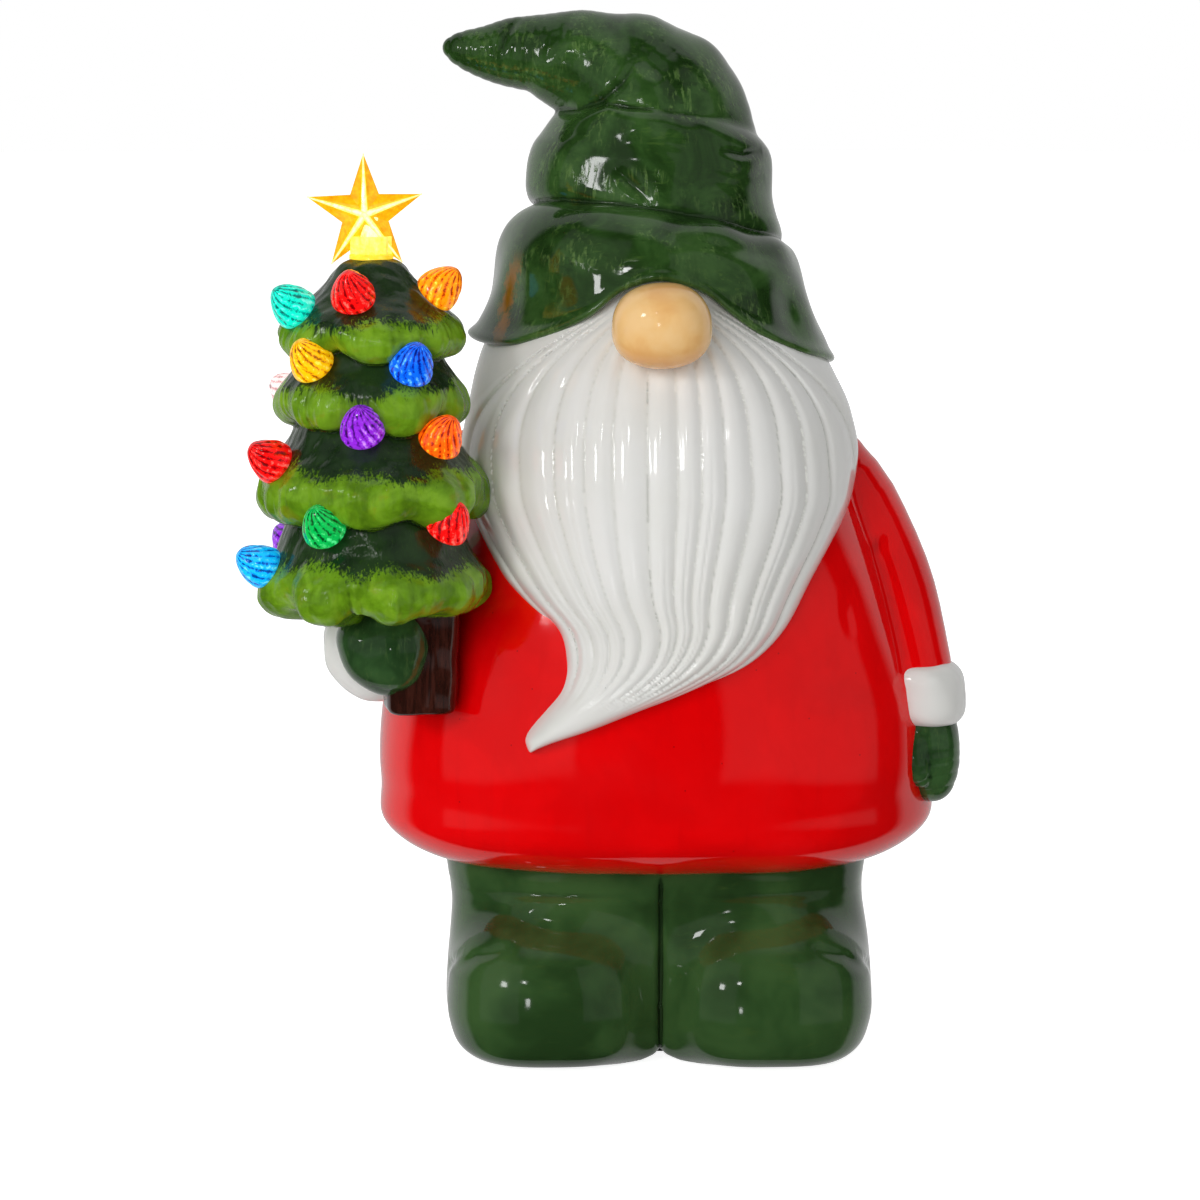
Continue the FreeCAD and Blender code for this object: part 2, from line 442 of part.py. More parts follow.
cells, springs, plates = [], [], []
for i, y in enumerate((-15.2, 0.0, 15.2)):
    d = 1 if i % 2 == 0 else -1      # nub towards +x or -x
    zc = 12.6
    if d > 0:
        x0 = BAY_X1 - 0.4 - NUB_L - CELL_L
        c = cyl(CELL_R, CELL_L, V(x0, y, zc), V(1, 0, 0)).fuse(cyl(NUB_R, NUB_L, V(x0 + CELL_L, y, zc), V(1, 0, 0)))
        sx, sd = BAY_X0 + 0.4, V(1, 0, 0)
        gap = x0 - sx
    else:
        x0 = BAY_X0 + 0.4 + NUB_L
        c = cyl(CELL_R, CELL_L, V(x0, y, zc), V(1, 0, 0)).fuse(cyl(NUB_R, NUB_L, V(x0 - NUB_L, y, zc), V(1, 0, 0)))
        sx, sd = BAY_X1 - 0.4, V(-1, 0, 0)
        gap = sx - (x0 + CELL_L)
    edges = [e for e in c.Edges if isinstance(e.Curve, Part.Circle) and abs(e.Curve.Radius - CELL_R) < 1e-3]
    c = c.makeFillet(0.6, edges)
    cells.append(c)
    # conical contact spring: rings on a common leg
    parts = []
    turns = 3
    for k in range(turns):
        rr = 4.6 - 0.9 * k
        px = sx + sd.x * (0.45 + k * (gap - 0.9) / (turns - 1))
        parts.append(Part.makeTorus(rr, 0.4, V(px, y, zc), V(1, 0, 0)))
    for k in range(turns - 1):
        r0, r1 = 4.6 - 0.9 * k, 4.6 - 0.9 * (k + 1)
        a = V(sx + sd.x * (0.45 + k * (gap - 0.9) / (turns - 1)), y, zc + r0)
        b = V(sx + sd.x * (0.45 + (k + 1) * (gap - 0.9) / (turns - 1)), y, zc + r1)
        parts.append(cyl(0.38, (b - a).Length, a, b - a))
    springs.append(main_solid(parts[0].fuse(parts[1:])))
for x in (BAY_X0, BAY_X1 - 0.4):
    plates.append(box(x, x + 0.4, -22.4, -8.4 if x < 0 else 7.0, 6.0, 19.4))
    plates.append(box(x, x + 0.4, -7.0 if x < 0 else 8.4, 22.4, 6.0, 19.4))
contact_springs = Part.Compound(springs)
contact_plates = Part.Compound(plates)

# ---------------------------------------------------------------- lamps and leads
holder = cyl(11, 5.0, V(TREE_X, TREE_Y, 156)).cut(box(TREE_X - 4.1, TREE_X + 4.1, TREE_Y - 0.65, TREE_Y + 0.65, 157, 162))
led_board = box(TREE_X - 4.0, TREE_X + 4.0, TREE_Y - 0.6, TREE_Y + 0.6, 157.0, 252.0)
lamps = []
for k, z in enumerate((168, 182, 196, 210, 224, 238, 249)):
    s = 1 if k % 2 else -1
    y0 = TREE_Y + (0.6 if s > 0 else -2.2)
    lamps.append(box(TREE_X - 1.7, TREE_X + 1.7, y0, y0 + 1.6, z - 1.7, z + 1.7))
led_lamps = Part.Compound(lamps)
leads = []
for k, off in enumerate((-1.1, 1.1)):
    zt = 164.0 + 3.5 * k
    pts = [V(33.5, off * 1.6 - 2.0, 10.4), V(33.2, off * 1.6 - 3.5, 34), V(25, off * 1.5 - 8, 66), V(5, off * 1.4 - 14, 98), V(-19, off * 1.3 - 21.5, 125),
           V(-42, off * 1.1 - 32.0, 147.5), V(-58, off * 1.0 - 42.3, 154.8), V(-73, off * 1.0 - 52.0, 160.2), V(-79.5, TREE_Y, zt), V(TREE_X + 4.0, TREE_Y, zt)]
    leads.append(tube(pts, WIRE_R, "lead %d" % k))

# ---------------------------------------------------------------- write every node
put("boots_and_trousers", legs)
put("coat", coat)
put("beard", beard)
put("nose", nose)
put("hat", hat)
put("left_sleeve", l_sleeve)
put("left_cuff", l_cuff)
put("left_mitten", l_mitten)
put("right_sleeve", r_sleeve)
put("right_cuff", r_cuff)
put("right_mitten", r_mitten)
put("tree_foliage", tree)
put("tree_trunk", trunk)
put("star_topper", star)
for n, s in bulb_solids:
    put(n, s)
put("foot_pads", foot_pads)
put("battery_case", case)
put("case_seal", seal)
put("battery_door", door)
put("door_screw", screw)
put("switch_slider", slider)
put("switch_housing", switch_can)
put("timer_board", board)
put("board_components", components)
put("board_screws", board_screws)
for i, c in enumerate(cells):
    put("battery_cell_%d" % (i + 1), c)
put("contact_springs", contact_springs)
put("contact_plates", contact_plates)
put("lamp_board_holder", holder)
put("lamp_board", led_board)
put("lamps", led_lamps)
put("lead_positive", leads[0])
put("lead_negative", leads[1])

for f in os.listdir("parts"):
    if f.endswith(".step"):
        os.remove(os.path.join("parts", f))
total = None
bb = FreeCAD.BoundBox()
for n, s in OUT.items():
    s = s.copy()
    s.translate(V(AXIS_X, AXIS_Y, 0))
    ok = s.isValid() and all(q.isClosed() for q in s.Solids) and len(s.Solids) > 0
    if not ok:
        print("PROBLEM", n, s.isValid(), len(s.Solids))
    b = s.optimalBoundingBox(False, False)
    bb.add(b)
    s.exportStep(os.path.join("parts", n + ".step"))
print("nodes", len(OUT), "box", [round(x, 3) for x in (bb.XMin, bb.XMax, bb.YMin, bb.YMax, bb.ZMin, bb.ZMax)],
      "size", [round(x, 2) for x in (bb.XLength, bb.YLength, bb.ZLength)])
print("centre", round((bb.XMin + bb.XMax) / 2, 3), round((bb.YMin + bb.YMax) / 2, 3))
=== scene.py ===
import bpy
import math
import numpy as np
from mathutils import Vector, Matrix


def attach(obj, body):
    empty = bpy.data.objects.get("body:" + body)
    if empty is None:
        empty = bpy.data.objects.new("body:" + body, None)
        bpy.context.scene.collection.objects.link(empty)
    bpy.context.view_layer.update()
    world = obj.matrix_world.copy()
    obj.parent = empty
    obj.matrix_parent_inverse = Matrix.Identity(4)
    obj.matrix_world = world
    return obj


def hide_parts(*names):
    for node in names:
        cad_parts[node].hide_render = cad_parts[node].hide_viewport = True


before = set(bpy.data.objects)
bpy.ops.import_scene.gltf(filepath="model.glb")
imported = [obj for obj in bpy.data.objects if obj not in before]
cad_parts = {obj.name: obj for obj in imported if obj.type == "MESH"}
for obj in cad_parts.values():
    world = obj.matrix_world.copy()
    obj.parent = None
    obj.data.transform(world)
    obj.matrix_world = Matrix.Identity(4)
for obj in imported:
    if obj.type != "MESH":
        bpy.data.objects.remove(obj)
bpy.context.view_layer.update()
FINE = 1.0          # grid coarsening while trying things
AX, AY = 15.968, 15.042               # the body's axis in the row frame, mm
ROOT = "figure"

# =====================================================================================================
# numeric helpers: every shape is a smooth field in millimetres about the body's axis, negative inside
# =====================================================================================================


def pchip(xs, ys, x):
    xs, ys = np.asarray(xs, float), np.asarray(ys, float)
    h = np.diff(xs)
    d = np.diff(ys) / h
    m = np.zeros(len(xs))
    m[0], m[-1] = d[0], d[-1]
    for i in range(1, len(xs) - 1):
        if d[i - 1] * d[i] > 0:
            w1, w2 = 2 * h[i] + h[i - 1], h[i] + 2 * h[i - 1]
            m[i] = (w1 + w2) / (w1 / d[i - 1] + w2 / d[i])
    x = np.clip(x, xs[0], xs[-1])
    i = np.clip(np.searchsorted(xs, x) - 1, 0, len(xs) - 2)
    t = (x - xs[i]) / h[i]
    return (ys[i] * (1 + 2 * t) * (1 - t) ** 2 + m[i] * h[i] * t * (1 - t) ** 2
            + ys[i + 1] * t * t * (3 - 2 * t) + m[i + 1] * h[i] * t * t * (t - 1))


STEP = 0.25


class Column:
    """A table column, interpolated and then smoothed so that highlights run cleanly across it."""

    def __init__(self, zs, vs, sigma):
        self.z0, self.z1 = float(zs[0]), float(zs[-1])
        n = int(round((self.z1 - self.z0) / STEP)) + 1
        z = np.linspace(self.z0, self.z1, n)
        v = pchip(zs, vs, z)
        if sigma > 0:
            r = int(3 * sigma / STEP)
            k = np.exp(-0.5 * (np.arange(-r, r + 1) * STEP / sigma) ** 2)
            k /= k.sum()
            left = 2 * v[0] - v[1:r + 1][::-1] if len(v) > r else np.full(r, v[0])
            right = 2 * v[-1] - v[-r - 1:-1][::-1] if len(v) > r else np.full(r, v[-1])
            v = np.convolve(np.concatenate([left, v, right]), k, mode="valid")
        self.n, self.v = n, v.astype(np.float32)
        self.s = (n - 1) / (self.z1 - self.z0)

    def __call__(self, z):
        t = np.clip((z - self.z0) * self.s, 0, self.n - 1.001)
        i = t.astype(np.int32)
        f = t - i
        return self.v[i] * (1 - f) + self.v[i + 1] * f


def smin(a, b, k):
    h = np.clip(0.5 + 0.5 * (b - a) / k, 0, 1)
    return b * (1 - h) + a * h - k * h * (1 - h)


def smax(a, b, k):
    return -smin(-a, -b, k)


def sstep(a, b, x):
    t = np.clip((x - a) / (b - a), 0, 1)
    return t * t * (3 - 2 * t)


class Stack:
    """rows of (z, cx, half width, front y, back y, exponent): superellipse sections stacked along z."""

    def __init__(self, rows, sigma=2.0, cap=1.5):
        r = np.array(rows, float)
        z = r[:, 0]
        self.z0, self.z1, self.cap = float(z[0]), float(z[-1]), cap
        self.cx = Column(z, r[:, 1], sigma)
        self.a = Column(z, r[:, 2], sigma)
        self.yc = Column(z, (r[:, 3] + r[:, 4]) / 2, sigma)
        self.b = Column(z, (r[:, 4] - r[:, 3]) / 2, sigma)
        self.n = Column(z, r[:, 5], sigma)
        g = np.abs(np.gradient((self.a.v + self.b.v) / 2, STEP))
        self.slope = Column.__new__(Column)
        self.slope.__dict__.update(self.a.__dict__)
        self.slope.v = (1 / np.sqrt(1 + np.minimum(g, 4) ** 2)).astype(np.float32)

    def __call__(self, x, y, z):
        a, b, n = np.maximum(self.a(z), 0.3), np.maximum(self.b(z), 0.3), self.n(z)
        X, Y = np.abs(x - self.cx(z)), np.abs(y - self.yc(z))
        rho = ((X / a) ** n + (Y / b) ** n + 1e-9) ** (1 / n)
        r = np.sqrt(X * X + Y * Y)
        d = np.where(rho > 0.05, r * (1 - 1 / np.maximum(rho, 0.05)), -np.minimum(a, b) * (1 - rho))
        d = d * self.slope(z)
        dz = np.maximum(self.z0 - z, z - self.z1)
        return smax(d, dz, self.cap)


def chain(pts, x, y, z, ky=1.0, k=0.0):
    """Round cones through (x, y, z, r); depth is scaled by ky."""
    out = None
    for (ax, ay, az, ra), (bx, by, bz, rb) in zip(pts[:-1], pts[1:]):
        dx, dy, dz = bx - ax, (by - ay) * ky, bz - az
        px, py, pz = x - ax, (y - ay) * ky, z - az
        L = dx * dx + dy * dy + dz * dz
        t = np.clip((px * dx + py * dy + pz * dz) / L, 0, 1)
        d = np.sqrt((px - t * dx) ** 2 + (py - t * dy) ** 2 + (pz - t * dz) ** 2) - (ra + t * (rb - ra))
        out = d if out is None else (smin(out, d, k) if k > 0 else np.minimum(out, d))
    return out


def spline_pts(rows, n):
    """Smooth resampling of control rows, each any number of values."""
    r = np.array(rows, float)
    d = np.r_[0, np.cumsum(np.linalg.norm(np.diff(r[:, :3], axis=0), axis=1))]
    t = np.linspace(0, d[-1], n)
    return np.stack([pchip(d, r[:, i], t) for i in range(r.shape[1])], 1)


def waves(x, y, z, scale, seed, count=7):
    """Gentle unevenness from a few plane waves, about one unit high."""
    rs = np.random.RandomState(seed)
    out = 0
    for _ in range(count):
        v = rs.normal(size=3)
        v = v / np.linalg.norm(v) * (2 * math.pi / scale) * rs.uniform(0.7, 1.5)
        out = out + np.sin(v[0] * x + v[1] * y + v[2] * z + rs.uniform(0, 6.28))
    return out / math.sqrt(count)


def seg_dist(u, v, pts):
    """Distance in a plane from points (u, v) to a polyline, and how far along it the nearest point is, 0 to 1."""
    best, along = None, None
    total = sum(math.dist(p, q) for p, q in zip(pts[:-1], pts[1:]))
    run = 0
    for p, q in zip(pts[:-1], pts[1:]):
        du, dv = q[0] - p[0], q[1] - p[1]
        L = du * du + dv * dv
        t = np.clip(((u - p[0]) * du + (v - p[1]) * dv) / L, 0, 1)
        d = np.sqrt((u - p[0] - t * du) ** 2 + (v - p[1] - t * dv) ** 2)
        s = (run + t * math.sqrt(L)) / total
        if best is None:
            best, along = d, s
        else:
            along = np.where(d < best, s, along)
            best = np.minimum(best, d)
        run += math.sqrt(L)
    return best, along


def carve(u, v, pts, width, depth):
    """A tapering carved line along a polyline."""
    d, s = seg_dist(u, v, pts)
    return depth * np.exp(-(d / width) ** 2) * np.clip(np.sin(np.pi * np.clip(s, 0.02, 0.98)), 0, 1) ** 0.6


# ---------------------------------------------------------------------------------------- mesher
def sample(f, lo, hi, h, m=4):
    lo, hi = np.array(lo, float), np.array(hi, float)
    nb = np.ceil((hi - lo) / (h * m)).astype(int) + 1
    n = nb * m + 1
    ax = [lo[i] + h * np.arange(n[i]) for i in range(3)]
    bc = [lo[i] + h * (m * np.arange(nb[i]) + m / 2) for i in range(3)]
    B = np.meshgrid(*bc, indexing="ij")
    C = f(B[0].ravel().astype(np.float32), B[1].ravel().astype(np.float32), B[2].ravel().astype(np.float32)).reshape(nb)
    near = np.abs(C) < m * h * 2.1
    mask = np.zeros(n, bool)
    for i in range(m + 1):
        for j in range(m + 1):
            for k in range(m + 1):
                mask[i:i + (nb[0] - 1) * m + 1:m, j:j + (nb[1] - 1) * m + 1:m, k:k + (nb[2] - 1) * m + 1:m] |= near
    far = np.repeat(np.repeat(np.repeat(C, m, 0), m, 1), m, 2)
    F = np.pad(far, ((0, 1),) * 3, mode="edge").astype(np.float32)
    I = np.nonzero(mask)
    vals = np.empty(len(I[0]), np.float32)
    for s in range(0, len(vals), 400000):
        e = slice(s, s + 400000)
        vals[e] = f(ax[0][I[0][e]].astype(np.float32), ax[1][I[1][e]].astype(np.float32), ax[2][I[2][e]].astype(np.float32))
    F[I] = vals
    return F, lo


def nets(F, lo, h):
    """Surface nets: one vertex per crossed cell, one quad per crossed edge."""
    inside = F < 0
    s = inside.astype(np.int8)
    acc = (s[:-1, :-1, :-1] + s[1:, :-1, :-1] + s[:-1, 1:, :-1] + s[1:, 1:, :-1]
           + s[:-1, :-1, 1:] + s[1:, :-1, 1:] + s[:-1, 1:, 1:] + s[1:, 1:, 1:])
    active = (acc > 0) & (acc < 8)
    cells = np.argwhere(active)
    index = np.full(active.shape, -1, np.int64)
    index[active] = np.arange(len(cells))
    corner = np.array([[i, j, k] for i in (0, 1) for j in (0, 1) for k in (0, 1)])
    vals = np.stack([F[cells[:, 0] + c[0], cells[:, 1] + c[1], cells[:, 2] + c[2]] for c in corner], 1)
    pos, cnt = np.zeros((len(cells), 3)), np.zeros(len(cells))
    for a in range(8):
        for b in range(a + 1, 8):
            if np.abs(corner[a] - corner[b]).sum() != 1:
                continue
            va, vb = vals[:, a], vals[:, b]
            c = (va < 0) != (vb < 0)
            t = np.where(c, va / np.where(c, va - vb, 1), 0)
            pos += c[:, None] * (corner[a] + t[:, None] * (corner[b] - corner[a]))
            cnt += c
    verts = lo + (cells + pos / np.maximum(cnt, 1)[:, None]) * h
    quads = []
    for axis in range(3):
        o1, o2 = [(1, 2), (2, 0), (0, 1)][axis]
        a = np.moveaxis(inside, (axis, o1, o2), (0, 1, 2))
        idx = np.moveaxis(index, (axis, o1, o2), (0, 1, 2))
        cross = a[:-1, 1:-1, 1:-1] != a[1:, 1:-1, 1:-1]
        e = np.argwhere(cross)
        i, j, k = e[:, 0], e[:, 1] + 1, e[:, 2] + 1
        q = np.stack([idx[i, j - 1, k - 1], idx[i, j, k - 1], idx[i, j, k], idx[i, j - 1, k]], 1)
        flip = ~a[i, j, k]
        q[flip] = q[flip][:, ::-1]
        quads.append(q)
    quads = np.vstack(quads)
    return verts, quads[(quads >= 0).all(1)]


def gradient(f, V, e=0.12):
    x, y, z = V[:, 0], V[:, 1], V[:, 2]
    g = np.empty_like(V)
    g[:, 0] = f(x + e, y, z) - f(x - e, y, z)
    g[:, 1] = f(x, y + e, z) - f(x, y - e, z)
    g[:, 2] = f(x, y, z + e) - f(x, y, z - e)
    return g / (2 * e)


def settle(f, V, Q, rounds, h):
    """Evens the mesh along the surface and lands it on the surface."""
    E = np.vstack([Q[:, [0, 1]], Q[:, [1, 2]], Q[:, [2, 3]], Q[:, [3, 0]]])
    n = len(V)
    deg = np.bincount(E[:, 0], minlength=n) + np.bincount(E[:, 1], minlength=n)
    for r in range(rounds):
        avg = np.stack([np.bincount(E[:, 0], V[E[:, 1], i], n) + np.bincount(E[:, 1], V[E[:, 0], i], n) for i in range(3)], 1)
        avg /= np.maximum(deg, 1)[:, None]
        g = gradient(f, V)
        L = np.maximum(np.linalg.norm(g, axis=1), 0.2)
        nrm = g / L[:, None]
        move = (avg - V) * 0.5
        move -= (move * nrm).sum(1)[:, None] * nrm
        V = V + move
        step = np.clip(f(V[:, 0], V[:, 1], V[:, 2]) / L, -h, h)
        V = V - step[:, None] * nrm * 0.9
    g = gradient(f, V)
    L = np.maximum(np.linalg.norm(g, axis=1), 1e-6)
    nrm = g / L[:, None]
    # cavity: positive in creases, negative on edges; the glazes use it to paint shade into creases and highlights onto
    # edges
    avg = np.stack([np.bincount(E[:, 0], V[E[:, 1], i], n) + np.bincount(E[:, 1], V[E[:, 0], i], n) for i in range(3)], 1)
    avg /= np.maximum(deg, 1)[:, None]
    cav = ((avg - V) * nrm).sum(1) / (h * h)
    for _ in range(3):
        cav = 0.4 * cav + 0.6 * (np.bincount(E[:, 0], cav[E[:, 1]], n) + np.bincount(E[:, 1], cav[E[:, 0]], n)) / np.maximum(deg, 1)
    return V, nrm, cav


def to_object(name, V, Q, normals=None, attrs=None, smooth=True):
    me = bpy.data.meshes.new(name)
    P = (np.asarray(V, float) + np.array([AX, AY, 0])) / 1000.0
    me.vertices.add(len(P))
    me.vertices.foreach_set("co", P.astype(np.float32).ravel())
    Q = np.asarray(Q)
    k = Q.shape[1]
    me.loops.add(Q.size)
    me.loops.foreach_set("vertex_index", Q.astype(np.int32).ravel())
    me.polygons.add(len(Q))
    me.polygons.foreach_set("loop_start", np.arange(0, Q.size, k, dtype=np.int32))
    me.polygons.foreach_set("use_smooth", np.full(len(Q), smooth))
    me.update(calc_edges=True)
    for key, val in (attrs or {}).items():
        a = me.attributes.new(key, "FLOAT", "POINT")
        a.data.foreach_set("value", np.asarray(val, np.float32))
    me.validate(verbose=False)
    if normals is not None and len(me.vertices) == len(normals):
        me.normals_split_custom_set_from_vertices([tuple(v) for v in normals])
    ob = bpy.data.objects.new(name, me)
    bpy.context.scene.collection.objects.link(ob)
    return ob


def field_piece(name, f, lo, hi, h, rounds=3, attrs=None):
    h = h * FINE
    F, base = sample(f, lo, hi, h)
    V, Q = nets(F, base, h)
    V, nrm, cav = settle(f, V, Q, rounds, h)
    extra = {"cav": cav}
    for key, fn in (attrs or {}).items():
        extra[key] = fn(V[:, 0], V[:, 1], V[:, 2])
    print("piece", name, len(V), "vertices", len(Q), "quads")
    return to_object(name, V, Q, nrm, extra)


# =====================================================================================================
# shapes
# =====================================================================================================
COAT = [
    (63.5, -0.6, 69.5, -50, 49.5, 2.7), (65.5, -0.6, 76.0, -58.5, 56, 2.6), (69, -0.6, 83.5, -67, 62, 2.5),
    (75, -0.6, 89.5, -72.5, 67.5, 2.4), (84, -0.5, 92.2, -75.5, 70, 2.35), (98, -0.5, 92.6, -76.5, 70.5, 2.3),
    (115, -0.5, 91.0, -76, 70, 2.3), (132, 0, 86.5, -74, 68.5, 2.3), (150, 0, 80.0, -71, 66.5, 2.3),
    (170, 0, 72.0, -66.5, 64, 2.3), (190, 0, 64.0, -61, 61, 2.3), (208, 0, 58.5, -57, 59, 2.25),
    (220, -0.8, 58.0, -57, 58.5, 2.2), (232, -1.6, 54.4, -54, 54, 2.1), (240, -2.2, 49.5, -50, 50, 2.1)]
coat_s = Stack(COAT, sigma=2.2, cap=3.0)
L_ARM = [(55, 1.5, 200, 8.0), (60, -1.5, 192, 11.4), (68.0, -5.5, 178, 12.9), (75.6, -10.8, 161, 13.0), (81.6, -17.6, 141, 12.6), (84.6, -21.6, 127, 12.2), (85.2, -22.4, 122, 11.8)]
R_ARM = [(-55, 9, 199, 10), (-63, 9, 189, 12.4), (-72, 7, 175, 13.8), (-80.5, 3, 159, 14.6), (-87, -7, 146, 15.0), (-89.8, -20, 140, 15.3), (-90.2, -33, 139, 15.2), (-90.2, -40, 139, 14.5)]
L_ARM_P = [tuple(p) for p in spline_pts(L_ARM, 12)]
R_ARM_P = [tuple(p) for p in spline_pts(R_ARM, 14)]


def f_coat(x, y, z):
    d = coat_s(x, y, z)
    # a soft rolled edge just above the hem, and a hint of unevenness from the mould
    d = d - 0.9 * np.exp(-((z - 77.5) / 4.5) ** 2) + 0.5 * np.exp(-((z - 88) / 5.0) ** 2)
    arms = chain(L_ARM_P, x, y, z, ky=0.74)
    arms = smax(arms, 125.0 - z, 2.0)
    arm_r = chain(R_ARM_P, x, y, z, ky=0.96)
    arm_r = smax(arm_r, -37.0 - y, 2.0)
    # shallow pull folds at the inside of both elbows and at the armpit
    arms = arms + carve(x, z, [(76, 176), (70, 168), (66, 158)], 2.4, 0.45) * sstep(2, -14, y)
    d = smin(d, arms, 4.5)
    d = smin(d, arm_r, 5.0)
    d = d + carve(x, z, [(61, 158), (60, 150), (62, 141)], 2.4, 0.3) * sstep(-18, -34, y)
    d = d + carve(y, z, [(-2, 150), (-10, 153), (-18, 151)], 2.2, 0.7) * sstep(-78, -90, x)
    d = d + 0.22 * waves(x, y, z, 46, 3)
    # above the brim the coat stays under the hat
    return np.maximum(d, np.minimum(hat_outer(x, y, z) + 1.6, z - brim_height(x, y) - 0.6))


TROUSER = [(1.5, 0.6, 64.5, -44.5, 45.5, 3.0), (4, 0.6, 67.6, -47.6, 48.5, 3.0), (10, 0.6, 69.3, -49.8, 50, 3.0),
           (32, 0.6, 69.2, -49, 50, 3.0), (48, 0, 69.2, -49, 50, 3.0), (58, -0.6, 70.0, -50, 50, 3.0), (66, -0.6, 71.0, -51, 50, 3.0)]
trouser_s = Stack(TROUSER, sigma=2.0, cap=1.2)
BOOT = [(1.5, 28.5, -58, 40), (4, 31.8, -62.5, 44), (9, 34.0, -65.6, 46), (18, 35.3, -67.6, 47), (28, 34.9, -66.3, 46),
        (35, 33.6, -63.2, 44), (41, 31.2, -58.6, 40), (46, 27.6, -54.0, 34), (50.5, 22.5, -50.4, 26), (54.5, 15, -46.5, 12), (57, 5, -30, -6)]


def boot_s(cx, cap=1.2):
    return Stack([(z, cx, a, yf, yb, 3.0) for z, a, yf, yb in BOOT], sigma=1.4, cap=cap)


boot_l, boot_r = boot_s(-35.3), boot_s(36.2)


def f_legs(x, y, z):
    d = trouser_s(x, y, z)
    side = np.abs(x - 0.5)
    both = smin(boot_l(x, y, z), boot_r(x, y, z), 1.6)
    k = 9.0
    h = np.clip(0.5 + 0.5 * (both - d) / k, 0, 1)
    d = both * (1 - h) + d * h - k * h * (1 - h) * (1 - 0.55 * sstep(34, 60, side))
    # one crease between the legs, opening a little at the floor
    w = np.exp(-(side / 1.0) ** 1.5) * 1.7 + np.exp(-(side / 4.6) ** 1.4) * (1.0 + 0.9 * sstep(9, 1.5, z))
    d = d + w * sstep(26, 42, np.abs(y)) * sstep(66, 58, z)
    # creases where the trousers meet the boots at the outer sides
    for sx in (-1, 1):
        d = d + carve(x, z, [(sx * 50 + 0.5, 41), (sx * 60 + 0.5, 37.5), (sx * 69 + 0.5, 30)], 1.5, 1.1) * sstep(-6, -20, y)
        d = d + carve(y, z, [(-46, 38), (-34, 31), (-20, 27)], 2.2, 0.8) * (sx * x > 50)
    # open underside with the recess for the battery case
    qx, qy = np.abs(x) - 40.3, np.abs(y) - 28.3
    rec = np.sqrt(np.maximum(qx, 0) ** 2 + np.maximum(qy, 0) ** 2) + np.minimum(np.maximum(qx, qy), 0) - 9.0
    rec = np.maximum(rec, z - 5.0)
    qx, qy = np.abs(x) - 38.0, np.abs(y) - 27.0
    opening = np.sqrt(np.maximum(qx, 0) ** 2 + np.maximum(qy, 0) ** 2) + np.minimum(np.maximum(qx, qy), 0) - 5.0
    opening = smax(opening, z - 30.0, 2.0)
    d = smax(d, -np.minimum(rec, opening), 0.5)
    d = d + 0.16 * waves(x, y, z, 34, 5)
    # the flat sole stays just above the floor, on the pads
    return smax(d, 0.9 - z, 0.8)


BEARD = [
    (108.2, -41.4, 0.8, -73.5, -62, 2.0), (109.6, -40.6, 2.6, -76.5, -61, 2.0), (112, -37.8, 6.2, -79.0, -60, 2.2), (116, -30.8, 11.8, -81.5, -56, 2.4),
    (122, -20.7, 17.6, -83.2, -52, 2.6), (129, -8.9, 24.6, -84.5, -50, 2.7), (137, -0.4, 32.4, -85.5, -48, 2.8),
    (147, 3.0, 38.9, -86, -44, 2.8), (155, 1.2, 45.8, -86, -40, 2.7), (163, -0.2, 51.6, -86, -36, 2.6),
    (175, 0, 58.2, -85.5, -30, 2.4), (188, 0, 63.2, -84, -25, 2.3), (200, 0, 64.8, -81.5, -22, 2.25),
    (213, 0, 62.6, -78, -18, 2.2), (226, -1.3, 58.4, -72.5, -14, 2.15), (238, -2.6, 52.4, -65.5, -12, 2.1), (250, -2.4, 43.6, -57, -10, 2.1), (262, 0, 34, -47, -9, 2.1)]
_b = np.array([(z, cx, a, yf, 2 * yc - yf, n) for z, cx, a, yf, yc, n in BEARD])
beard_s = Stack(_b, sigma=1.0, cap=0.8)
# lines of flow: left and right guides that leave the nose, spread, and sweep down to the tip
FLOW_Z = [104, 110, 113, 117, 122, 129, 137, 147, 157, 168, 180, 195, 208, 218, 226, 233, 239, 246, 252, 262]
FLOW_L = [-44, -43.0, -41.6, -40.8, -37.4, -33.8, -33.0, -36.0, -45.5, -53.5, -60.5, -66.0, -66.5, -65.0, -61.0, -54.0, -43.0, -26.0, -14.0, -9.0]
FLOW_R = [-43, -38.0, -29.0, -17.0, -3.2, 15.5, 32.0, 42.4, 48.4, 55.0, 61.8, 67.0, 66.5, 65.0, 61.0, 54.0, 43.0, 26.0, 14.0, 9.0]
flow_l, flow_r = Column(FLOW_Z, FLOW_L, 2.0), Column(FLOW_Z, FLOW_R, 2.0)


